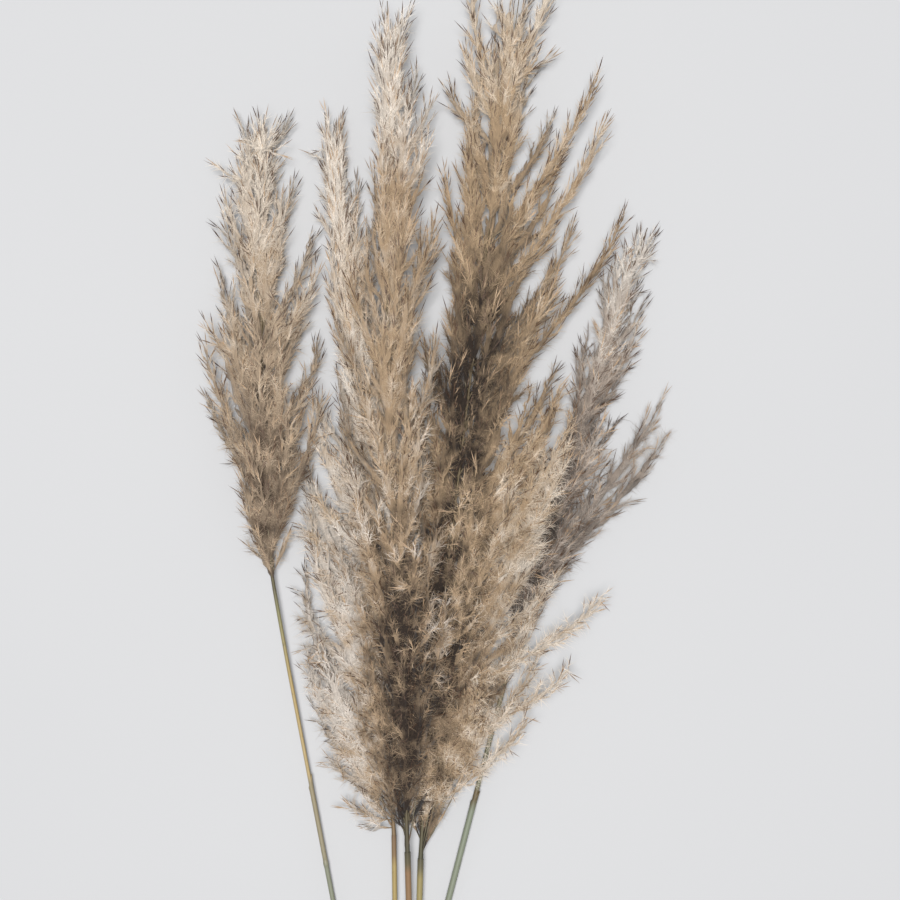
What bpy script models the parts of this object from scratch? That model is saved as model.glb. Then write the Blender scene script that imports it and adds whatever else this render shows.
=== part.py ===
"""A bunch of five dried reed plumes with their cut stems, laid down on a surface.

Each stem is a hollow straw. Each plume is one branching head: a core that carries on from
its stem, and curved side branches. Both are set all round with pointed barbs that lean
towards the tip, as its spikelets do. The undersides of the lower plumes are pressed flat
where they touch the surface.

+Y runs from the cut ends to the tips and +Z points up from the surface. The origin is on
the surface, under the middle of the bunch. Sizes are in millimetres until an object is made.
"""

import math
import random
from dataclasses import dataclass

import bmesh
import bpy
import numpy as np
from mathutils import Vector

MM = 0.001
SEAT_GAP = 0.3  # between a stem's top and the plume that it carries
WELD = 0.00001  # metres: corners nearer than this are one

# Stems
STEM_BEVEL_RESOLUTION = 3
BORE_SHARE = 0.55  # of the stem's radius: a reed is a hollow straw
BORE_DEPTH = 22.0
BORE_SIDES = 8
SHEATH_SWELL = 1.3  # a leaf sheath makes the stem thicker below its mouth
SHEATH_STEP = 1.5
KNOT_SWELL = 1.2
KNOT_HALF_LENGTH = 1.2

# Plumes
DIRECTION_WINDOW = 0.04  # of a line's length, each way, over which its direction is taken
BARB_UNEVENNESS = 0.18

# The core of a plume
NECK_LENGTH = 6.0
CORE_VALLEY_SHARE = 0.6  # of the barbs' reach, between the barbs
CORE_END_SHARE = 0.6  # of that, where the last barbs end
CORE_SIDES = 12  # an even number: every second corner of a ring is a barb
CORE_PITCH = 10.0
CORE_BARB_FORWARD = 15.0
CORE_TIP_RADIUS = 0.5

# Side branches
GOLDEN_SHARE = 0.618034
BRANCH_STATIONS = (0.0, 0.3, 0.65, 1.0)
BRANCH_SPREAD = 1.8  # above 1, a branch leaves steeply and then bends up
BRANCH_SIDES = 4
BRANCH_PITCH = 12.0
BRANCH_RADIUS = 1.8
BRANCH_BARB_FORWARD = 15.0
BRANCH_BARB_REACH = 6.5
TIP_SHRINK = 0.4  # how much smaller the barbs are at a branch's tip
TIERS_START = 0.25
BRANCH_TIP = 8.0
BRANCH_TIP_RADIUS = 0.4
REACH_SHARES = (1.0, 0.55, 0.8, 0.4)
REACH_UNEVENNESS = 0.1
LATE_SHORTENING = 0.5  # how much shorter the branches are at the tip than at the base
TURN_UNEVENNESS = 0.04
FULL_BARB_LENGTH = 50.0  # a shorter branch has smaller barbs
BASE_CROWDING = 1.15  # above 1, branches stand closer near the base
LAST_BRANCH = 0.9
SIDEWAYS = 1.7  # above 1, branches stand closer towards the plume's two sides
INSET = 4.0  # barbs reach this far past a branch's middle line

# Room that a plume keeps inside its own cell
MIDDLE_MARGIN = 4.4
VALLEY_MARGIN = 2.6
BARB_MARGIN = 0.15
SETTLE_ROUNDS = 6
PRESS_DEPTH = 2.5  # barbs would reach this far below the surface: there they are pressed flat
SLAB_WIDTH = 500.0
SLAB_LENGTH = 1000.0
SLAB_DEPTH = 20.0

PLUME_COLOUR = (0.45, 0.37, 0.29, 1.0)
STRAW_COLOUR = (0.46, 0.37, 0.21, 1.0)
SAGE_COLOUR = (0.33, 0.34, 0.25, 1.0)


@dataclass
class Reed:
    """One reed. Points are (x, y, z); an outline is (share of the plume, left, right).

    The sheath's mouth and the knot are given by how far they are from the cut end.
    """

    name: str
    stem_radius: float
    stem: tuple
    rachis: tuple
    outline: tuple
    depth: float
    core: float
    branches: int
    reach: float
    sprays: tuple
    sheath: float
    knot: float
    colour: tuple
    seed: int


REEDS = (
    Reed(
        name="left",
        stem_radius=0.95,
        stem=((-30.7, -300.6, 1.4), (-55.6, -169.0, 6.0), (-78.5, -46.8, 11.5), (-85.3, -7.8, 13.5)),
        rachis=((-90.0, 28.6, 15.5), (-92.0, 75.4, 17), (-91.5, 127.4, 17.5), (-93.1, 184.6, 16),
                (-90.5, 240.8, 14)),
        outline=((0, 2, 2), (0.15, 13, 16), (0.33, 31, 31), (0.44, 37, 37), (0.54, 31, 35),
                 (0.86, 26, 23), (1, 8, 8)),
        depth=0.62,
        core=0.85,
        branches=15,
        reach=75.0,
        sprays=((0.9, (-75.4, 241.8, 10)),),
        sheath=195.0,
        knot=150.0,
        colour=SAGE_COLOUR,
        seed=11,
    ),
    Reed(
        name="inner_left",
        stem_radius=1.3,
        stem=((-20.4, -319.8, 4.9), (-22.2, -169.0, 11.6), (-22.6, -136.8, 13.0)),
        rachis=((-26.5, -85.8, 13.5), (-31.7, -23.4, 14), (-39, 49.4, 14.5), (-45.2, 111.8, 13),
                (-51.5, 179.4, 10), (-59.3, 242.8, 8)),
        outline=((0, 1, 1), (0.08, 40, 11), (0.27, 48, 17), (0.46, 42, 24), (0.56, 28, 28),
                 (0.65, 14, 26), (0.83, 9, 16), (1, 4, 4)),
        depth=0.55,
        core=0.8,
        branches=17,
        reach=85.0,
        sprays=((0.17, (-63.0, -38.0, 17)), (0.02, (-50.0, -122.0, 15)), (0.05, (-61.0, -96.0, 13))),
        sheath=0.0,
        knot=0.0,
        colour=STRAW_COLOUR,
        seed=26,
    ),
    Reed(
        name="middle",
        stem_radius=1.6,
        stem=((-13.8, -318.8, 1.8), (-14.7, -169.0, 19.5), (-15.3, -144.0, 22.4)),
        rachis=((-17.2, -75.4, 28.5), (-20.3, -2.6, 34), (-23.9, 70.2, 38), (-25.5, 143, 39),
                (-25.5, 221, 36), (-25.5, 296.4, 32)),
        outline=((0, 1, 1), (0.11, 21, 18), (0.3, 33, 27), (0.53, 30, 24), (0.77, 22, 25),
                 (0.92, 11, 20), (1, 4, 5)),
        depth=0.75,
        core=0.85,
        branches=19,
        reach=100.0,
        sprays=(),
        sheath=0.0,
        knot=0.0,
        colour=STRAW_COLOUR,
        seed=17,
    ),
    Reed(
        name="inner_right",
        stem_radius=1.6,
        stem=((-10.3, -316.2, 3.5), (-10.7, -221.0, 8.9), (-8.6, -149.2, 12.8)),
        rachis=((-4.2, -85.8, 14.5), (3.6, -13, 17), (13, 65, 18.5), (22.4, 143, 19), (32.2, 221, 18),
                (43.2, 303.2, 16)),
        outline=((0, 1, 1), (0.05, 9, 18), (0.15, 18, 40), (0.31, 26, 62), (0.42, 29, 72),
                 (0.6, 26, 62), (0.74, 26, 48), (0.88, 29, 32), (1, 14, 14)),
        depth=0.5,
        core=0.7,
        branches=21,
        reach=105.0,
        sprays=((0.7, (85.8, 259.5, 33)), (0.62, (88.9, 235.6, 31)), (0.5, (100.4, 188.8, 30)),
                (0.12, (71.8, -46.8, 36)), (0.18, (90.0, -8.8, 37)), (0.05, (49.9, -71.8, 30)),
                (0.82, (17.2, 317.0, 24)), (0.88, (64.0, 319.0, 24))),
        sheath=0.0,
        knot=0.0,
        colour=STRAW_COLOUR,
        seed=26,
    ),
    Reed(
        name="right",
        stem_radius=1.25,
        stem=((-28.2, -304.2, 1.9), (6.8, -169.0, 6.0), (39.0, -44.2, 9.6)),
        rachis=((50.4, -2.6, 9), (65, 49.4, 8.5), (80.6, 96.2, 8.5), (96.2, 143, 8.5), (110.8, 182, 8)),
        outline=((0, 2, 2), (0.14, 8, 16), (0.41, 12, 20), (0.6, 9, 18), (0.76, 14, 20),
                 (0.87, 18, 14), (1, 4, 5)),
        depth=0.66,
        core=0.8,
        branches=12,
        reach=62.0,
        sprays=((0.18, (122.2, 91.0, 12)), (0.2, (125.3, 69.2, 10)), (0.1, (88.0, 38.0, 9))),
        sheath=193.0,
        knot=60.0,
        colour=SAGE_COLOUR,
        seed=29,
    ),
)

# Planes that part neighbouring plumes: a point on the plane, and its normal, which points
# from the first plume's cell to the second one's.
PARTINGS = (
    ("middle", "inner_right", (-24.9, -143.0, 0.0), (0.8, 0.006, -0.6)),
    ("middle", "inner_left", (-0.5, 0.0, 0.0), (-0.6, -0.02, -0.8)),
    ("inner_left", "inner_right", (-15.0, 0.0, 0.0), (1.0, 0.0, 0.0)),
    ("left", "inner_left", (-66.5, 49.4, 10.0), (1.0, -0.015, -0.39)),
    ("left", "middle", (-57.3, 0.0, 0.0), (1.0, 0.0, 0.0)),
    ("right", "inner_right", (0.0, 0.0, 3.0), (-0.35, 0.04, 1.0)),
)
# The inner left plume also keeps above the left stem, which passes under its lowest barbs.
OVER_LEFT_STEM = ("inner_left", (-73.6, 0.0, 0.0), (-1.0, -0.151, -0.8))


def clear_scene():
    for old in list(bpy.data.objects):
        bpy.data.objects.remove(old, do_unlink=True)


def new_collection(name):
    collection = bpy.data.collections.new(name)
    bpy.context.scene.collection.children.link(collection)
    return collection


def make_material(name, colour, roughness):
    material = bpy.data.materials.new(name)
    material.use_nodes = True
    shader = material.node_tree.nodes["Principled BSDF"]
    shader.inputs["Base Color"].default_value = colour
    shader.inputs["Roughness"].default_value = roughness
    shader.inputs["Metallic"].default_value = 0.0
    return material


def cell_of(name):
    """The half-spaces that bound a plume's cell, as (unit normal, limit): inside is n.p < limit."""
    planes = []
    for first, second, point, normal in PARTINGS:
        if name not in (first, second):
            continue
        facing = Vector(normal).normalized()
        if name == second:
            facing = -facing
        planes.append((facing, facing.dot(Vector(point))))
    if name == OVER_LEFT_STEM[0]:
        facing = Vector(OVER_LEFT_STEM[2]).normalized()
        planes.append((facing, facing.dot(Vector(OVER_LEFT_STEM[1]))))
    planes.append((Vector((0, 0, -1)), PRESS_DEPTH))
    return planes


def settle(point, planes, margin):
    """Moves a point into the cell, margin clear of each plane."""
    point = Vector(point)
    for _ in range(SETTLE_ROUNDS):
        for normal, limit in planes:
            over = normal.dot(point) + margin - limit
            if over > 0:
                point -= normal * over
    return point


class Line:
    """A line through a few points, read by the share of its length."""

    def __init__(self, points):
        self.points = [Vector(p) for p in points]
        steps = [(b - a).length for a, b in zip(self.points, self.points[1:])]
        self.length = sum(steps)
        self.stations = np.concatenate([[0.0], np.cumsum(steps)]) / self.length

    def at(self, share):
        coordinates = np.array(self.points)
        return Vector([np.interp(share, self.stations, coordinates[:, k]) for k in range(3)])

    def direction(self, share):
        low = max(share - DIRECTION_WINDOW, 0.0)
        high = min(share + DIRECTION_WINDOW, 1.0)
        return (self.at(high) - self.at(low)).normalized()


def tube(name, points, radii, bevel_resolution, collection):
    """A curve object with filled caps, thick as radii says at each point."""
    data = bpy.data.curves.new(name, "CURVE")
    data.dimensions = "3D"
    data.bevel_depth = MM
    data.bevel_resolution = bevel_resolution
    data.use_fill_caps = True
    spline = data.splines.new("POLY")
    spline.points.add(len(points) - 1)
    for target, point, radius in zip(spline.points, points, radii):
        target.co = (*(Vector(point) * MM), 1.0)
        target.radius = radius
    curve = bpy.data.objects.new(name, data)
    collection.objects.link(curve)
    return curve


def meshes_from_tubes(tubes, collection):
    """Makes each curve a mesh with welded caps, and removes the curve."""
    bpy.context.view_layer.update()
    graph = bpy.context.evaluated_depsgraph_get()
    solids = []
    for curve in tubes:
        data = bpy.data.meshes.new_from_object(curve.evaluated_get(graph))
        cleaner = bmesh.new()
        cleaner.from_mesh(data)
        bmesh.ops.remove_doubles(cleaner, verts=cleaner.verts, dist=WELD)
        bmesh.ops.recalc_face_normals(cleaner, faces=cleaner.faces)
        cleaner.to_mesh(data)
        cleaner.free()
        solids.append((curve.name, data, curve.matrix_world.copy()))
    for curve in tubes:
        bpy.data.objects.remove(curve, do_unlink=True)
    objects = []
    for name, data, place in solids:
        solid = bpy.data.objects.new(name, data)
        solid.matrix_world = place
        collection.objects.link(solid)
        objects.append(solid)
    return objects


def stem_profile(reed):
    """Points and radii of a stem, with its leaf sheath and its knot."""
    line = Line(reed.stem)
    radius = reed.stem_radius
    if not reed.sheath:
        return [Vector(p) for p in reed.stem], [radius] * len(reed.stem)
    mouth = reed.sheath / line.length
    knot = reed.knot / line.length
    step = SHEATH_STEP / line.length
    bump = KNOT_HALF_LENGTH / line.length
    places = (
        (0.0, SHEATH_SWELL), (knot - bump, SHEATH_SWELL), (knot, KNOT_SWELL * SHEATH_SWELL),
        (knot + bump, SHEATH_SWELL), (mouth, SHEATH_SWELL), (mouth + step, 1.0), (1.0, 1.0),
    )
    return [line.at(s) for s, _ in places], [radius * swell for _, swell in places]


def make_stem(reed, material, parts, cutters):
    points, radii = stem_profile(reed)
    name = "stem_" + reed.name
    stem = meshes_from_tubes([tube(name, points, radii, STEM_BEVEL_RESOLUTION, parts)], parts)[0]
    stem.data.materials.append(material)
    stem.data.shade_smooth()
    stem.data.set_sharp_from_angle(angle=math.radians(40))

    along = (points[1] - points[0]).normalized()
    bore_radius = reed.stem_radius * BORE_SHARE * MM
    bpy.ops.mesh.primitive_cylinder_add(vertices=BORE_SIDES, radius=bore_radius, depth=2 * BORE_DEPTH * MM)
    cutter = bpy.context.object
    cutter.name = "bore_" + reed.name
    cutter.location = points[0] * MM
    cutter.rotation_euler = along.to_track_quat("Z", "Y").to_euler()
    for owner in list(cutter.users_collection):
        owner.objects.unlink(cutter)
    cutters.objects.link(cutter)
    cutter.hide_render = True
    cutter.display_type = "WIRE"
    cut = stem.modifiers.new("bore", "BOOLEAN")
    cut.operation = "DIFFERENCE"
    cut.solver = "EXACT"
    cut.object = cutter
    return stem


def rachis_line(reed):
    """The plume's middle line, which starts straight on from the stem's top."""
    top = Vector(reed.stem[-1])
    along = (top - Vector(reed.stem[-2])).normalized()
    start = top + along * SEAT_GAP
    return Line([start, start + along * NECK_LENGTH] + [Vector(p) for p in reed.rachis])


def half_widths(reed, share):
    shares, left, right = zip(*reed.outline)
    return float(np.interp(share, shares, left)), float(np.interp(share, shares, right))


def across(reed, rachis, share, turn, scale, inset=0.0):
    """The way out from the middle line to the plume's outline, at a turn from 0 to 1 around it.

    The wider side gets the larger part of the turn, so branches stand evenly on both.
    """
    left, right = half_widths(reed, share)
    forward = rachis.direction(share)
    side = forward.cross(Vector((0, 0, 1))).normalized()
    up = side.cross(forward).normalized()
    border = right / (left + right)
    if turn < border:
        angle = math.pi * (turn / border - 0.5)
        width = right
    else:
        angle = math.pi * ((turn - border) / (1 - border) + 0.5)
        width = left
    height = reed.depth * (left + right) / 2
    width = max(width - inset, 1.0) * scale
    height = max(height - inset, 1.0) * scale
    return side * math.cos(angle) * width + up * math.sin(angle) * height


def spread_sideways(turn, border):
    """Draws a turn towards the middle of its side, because a plume spreads as it lies."""
    low, high = (0.0, border) if turn < border else (border, 1.0)
    place = 2 * (turn - low) / (high - low) - 1
    place = math.copysign(abs(place) ** SIDEWAYS, place)
    return low + (high - low) * (place + 1) / 2


def branch_path(base, tip, forward):
    """Leaves the base steeply to the side, and bends towards forward on the way to the tip."""
    span = tip - base
    along = forward * span.dot(forward)
    out = span - along
    return [base + along * s + out * (1 - (1 - s) ** BRANCH_SPREAD) for s in BRANCH_STATIONS]


def branch_paths(reed, rachis, planes, draw):
    """The middle lines of all side branches, each bent clear of the neighbouring plumes."""
    ends = []
    for k in range(reed.branches):
        start = LAST_BRANCH * ((k + 0.5) / reed.branches) ** BASE_CROWDING
        uneven = draw.uniform(1 - REACH_UNEVENNESS, 1 + REACH_UNEVENNESS)
        reach = reed.reach * REACH_SHARES[k % len(REACH_SHARES)] * uneven
        end = min(start + reach / rachis.length * (1 - LATE_SHORTENING * start), 1.0)
        left, right = half_widths(reed, end)
        turn = (k * GOLDEN_SHARE + draw.uniform(-TURN_UNEVENNESS, TURN_UNEVENNESS)) % 1.0
        turn = spread_sideways(turn, right / (left + right))
        ends.append((start, rachis.at(end) + across(reed, rachis, end, turn, 1.0, INSET)))
    for start, tip in reed.sprays:
        away = (Vector(tip) - rachis.at(start)).normalized()
        ends.append((start, Vector(tip) - away * BRANCH_TIP))
    paths = []
    for start, tip in ends:
        path = branch_path(rachis.at(start), tip, rachis.direction(start))
        path.append(tip + (tip - path[-2]).normalized() * BRANCH_TIP)
        paths.append([path[0]] + [settle(p, planes, MIDDLE_MARGIN) for p in path[1:]])
    return paths


def is_barb(tier, corner):
    return (tier + corner) % 2 == 0


def branch_rings(path, planes, draw):
    """Rings of points along a branch: in each ring every second corner is a barb."""
    line = Line(path)
    span = path[-1] - path[0]
    flat = span.cross(path[1] - path[0]).normalized()
    if flat.length < 0.5:
        flat = span.orthogonal().normalized()

    def corner(along, radius, k, margin):
        share = min(along / line.length, 1.0)
        up = line.direction(share).cross(flat).normalized()
        angle = math.tau * k / BRANCH_SIDES
        out = flat * math.cos(angle) + up * math.sin(angle)
        return settle(line.at(share) + out * radius, planes, margin)

    def plain_ring(along, radius, margin):
        return [corner(along, radius, k, margin) for k in range(BRANCH_SIDES)]

    fullness = min(line.length / FULL_BARB_LENGTH, 1.0)
    barb_forward = BRANCH_BARB_FORWARD * fullness
    first = line.length * TIERS_START
    room = line.length - barb_forward - first
    tiers = max(2, round(room / BRANCH_PITCH))
    rings = [plain_ring(0.0, BRANCH_RADIUS, VALLEY_MARGIN)]
    for j in range(tiers):
        along = first + room * j / tiers
        size = fullness * (1 - TIP_SHRINK * along / line.length)
        points = []
        for k in range(BRANCH_SIDES):
            uneven = draw.uniform(1 - BARB_UNEVENNESS, 1 + BARB_UNEVENNESS)
            if is_barb(j, k):
                ahead = along + barb_forward * uneven
                points.append(corner(ahead, BRANCH_BARB_REACH * size * uneven, k, BARB_MARGIN))
            else:
                points.append(corner(along, BRANCH_RADIUS * size, k, VALLEY_MARGIN))
        rings.append(points)
    rings.append(plain_ring(first + room, BRANCH_RADIUS * (1 - TIP_SHRINK), VALLEY_MARGIN))
    rings.append(plain_ring(line.length, BRANCH_TIP_RADIUS, BARB_MARGIN))
    return rings


def core_rings(reed, rachis, planes, draw):
    """Rings of points along the core: a round neck, then tiers of barbs up to the tip."""
    forward = rachis.direction(0.0)
    side = forward.cross(Vector((0, 0, 1))).normalized()
    up = side.cross(forward).normalized()
    angles = [math.tau * (k / CORE_SIDES - 0.25) for k in range(CORE_SIDES)]
    round_outs = [(side * math.cos(a) + up * math.sin(a)) * reed.stem_radius for a in angles]

    def corner(share, scale, k, margin):
        out = across(reed, rachis, share, k / CORE_SIDES, scale)
        return settle(rachis.at(share) + out, planes, margin)

    def plain_ring(share, scale, margin):
        return [corner(share, scale, k, margin) for k in range(CORE_SIDES)]

    rings = [[rachis.at(s) + out for out in round_outs] for s in (0.0, NECK_LENGTH / rachis.length)]
    first = 2 * NECK_LENGTH / rachis.length
    ahead = CORE_BARB_FORWARD / rachis.length
    tiers = round((1 - first - ahead) * rachis.length / CORE_PITCH)
    for j in range(tiers):
        share = first + (1 - first - ahead) * j / tiers
        points = []
        for k in range(CORE_SIDES):
            uneven = draw.uniform(1 - BARB_UNEVENNESS, 1 + BARB_UNEVENNESS)
            if is_barb(j, k):
                points.append(corner(min(share + ahead * uneven, 1.0), reed.core * uneven, k, BARB_MARGIN))
            else:
                points.append(corner(share, reed.core * CORE_VALLEY_SHARE, k, VALLEY_MARGIN))
        rings.append(points)
    rings.append(plain_ring(1 - ahead, reed.core * CORE_VALLEY_SHARE * CORE_END_SHARE, VALLEY_MARGIN))
    rings.append(plain_ring(1.0, CORE_TIP_RADIUS / max(half_widths(reed, 1.0)), BARB_MARGIN))
    return rings


def make_loft(name, rings, plain, collection):
    """A closed solid through rings of equal counts of points, the first few of them plain.

    Each square of the net is split from valley to valley, so the barbs are sharp pyramids.
    """
    maker = bmesh.new()
    loops = [[maker.verts.new(point * MM) for point in points] for points in rings]
    count = len(loops[0])
    for tier, (lower, upper) in enumerate(zip(loops, loops[1:])):
        for k in range(count):
            n = (k + 1) % count
            if is_barb(tier - plain, k):
                maker.faces.new((lower[k], lower[n], upper[k]))
                maker.faces.new((lower[n], upper[n], upper[k]))
            else:
                maker.faces.new((lower[k], lower[n], upper[n]))
                maker.faces.new((lower[k], upper[n], upper[k]))
    for end in (loops[0], loops[-1]):
        maker.faces.new(end)
    bmesh.ops.triangulate(maker, faces=[face for face in maker.faces if len(face.verts) > 3])
    bmesh.ops.recalc_face_normals(maker, faces=maker.faces)
    data = bpy.data.meshes.new(name)
    maker.to_mesh(data)
    maker.free()
    solid = bpy.data.objects.new(name, data)
    collection.objects.link(solid)
    return solid


def keep_one_body(data):
    """Keeps the largest body: a hollow that the joining sealed is filled, and a scrap dropped."""
    joined = bmesh.new()
    joined.from_mesh(data)
    bmesh.ops.remove_doubles(joined, verts=joined.verts, dist=WELD / 10)
    left_over = set(joined.faces)
    bodies = []
    while left_over:
        seed = left_over.pop()
        body = {seed}
        front = [seed]
        while front:
            face = front.pop()
            for edge in face.edges:
                for other in edge.link_faces:
                    if other in left_over:
                        left_over.remove(other)
                        body.add(other)
                        front.append(other)
        bodies.append(body)
    bodies.sort(key=len)
    for body in bodies[:-1]:
        bmesh.ops.delete(joined, geom=list(body), context="FACES")
    joined.to_mesh(data)
    joined.free()
    return len(bodies)


def apply_boolean(solid, operation, helpers):
    """Joins or cuts a solid with all objects of a collection, and applies it."""
    step = solid.modifiers.new("step", "BOOLEAN")
    step.operation = operation
    step.operand_type = "COLLECTION"
    step.solver = "MANIFOLD"
    step.collection = helpers
    bpy.context.view_layer.update()
    graph = bpy.context.evaluated_depsgraph_get()
    result = bpy.data.meshes.new_from_object(solid.evaluated_get(graph))
    solid.modifiers.clear()
    solid.data = result
    for helper in list(helpers.objects):
        bpy.data.objects.remove(helper, do_unlink=True)
    bpy.data.collections.remove(helpers)


def add_slab(collection):
    """A block whose top is the surface that the bunch lies on."""
    bpy.ops.mesh.primitive_cube_add(size=1.0, location=(0, 0, -SLAB_DEPTH / 2 * MM))
    slab = bpy.context.object
    slab.scale = (SLAB_WIDTH * MM, SLAB_LENGTH * MM, SLAB_DEPTH * MM)
    for owner in list(slab.users_collection):
        owner.objects.unlink(slab)
    collection.objects.link(slab)


def make_plume(reed, material, parts):
    """A core and its branches joined by one Boolean union, and pressed flat on the surface."""
    draw = random.Random(reed.seed)
    planes = cell_of(reed.name)
    rachis = rachis_line(reed)
    name = "plume_" + reed.name
    plume = make_loft(name, core_rings(reed, rachis, planes, draw), 2, parts)
    growth = new_collection("growth_" + reed.name)
    paths = branch_paths(reed, rachis, planes, draw)
    for path in paths:
        make_loft("branch", branch_rings(path, planes, draw), 1, growth)
    apply_boolean(plume, "UNION", growth)

    below = new_collection("below_" + reed.name)
    add_slab(below)
    apply_boolean(plume, "DIFFERENCE", below)

    bodies = keep_one_body(plume.data)
    plume.data.materials.clear()
    plume.data.materials.append(material)
    plume.data.calc_loop_triangles()
    print(name, len(paths), "branches", bodies, "bodies", len(plume.data.loop_triangles), "triangles")
    return plume


def main():
    clear_scene()
    parts = new_collection("dried_reed_bunch")
    cutters = new_collection("cutters")
    plume_finish = make_material("dry_plume", PLUME_COLOUR, 0.9)
    for reed in REEDS:
        stem_finish = make_material("dry_stem_" + reed.name, reed.colour, 0.6)
        make_stem(reed, stem_finish, parts, cutters)
        make_plume(reed, plume_finish, parts)


main()
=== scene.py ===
# %% [markdown]
# # Dried reed plumes, laid down
# Five cut reeds lie on a pale surface. Each is a hollow straw with one feathery plume.
# The frame gives their places and sizes. This lesson grows the plumes' fine spikelets and
# silky hair where the frame's plain solids stand, and then makes the straws and the light.

# %% Load the frame
import math

import bpy
import numpy as np
from mathutils import Matrix, Vector, noise


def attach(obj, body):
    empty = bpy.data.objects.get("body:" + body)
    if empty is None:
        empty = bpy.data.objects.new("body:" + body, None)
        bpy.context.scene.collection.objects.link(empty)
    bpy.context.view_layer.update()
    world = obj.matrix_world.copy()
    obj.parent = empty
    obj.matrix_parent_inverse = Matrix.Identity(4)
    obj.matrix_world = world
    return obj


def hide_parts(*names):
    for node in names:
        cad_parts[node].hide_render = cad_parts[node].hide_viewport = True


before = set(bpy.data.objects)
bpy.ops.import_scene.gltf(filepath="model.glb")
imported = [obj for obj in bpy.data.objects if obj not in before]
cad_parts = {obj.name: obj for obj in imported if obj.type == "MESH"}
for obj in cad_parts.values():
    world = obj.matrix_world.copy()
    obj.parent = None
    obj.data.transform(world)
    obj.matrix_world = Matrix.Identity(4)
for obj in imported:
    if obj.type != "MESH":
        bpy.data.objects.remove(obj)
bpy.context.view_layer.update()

MM = 0.001
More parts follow.
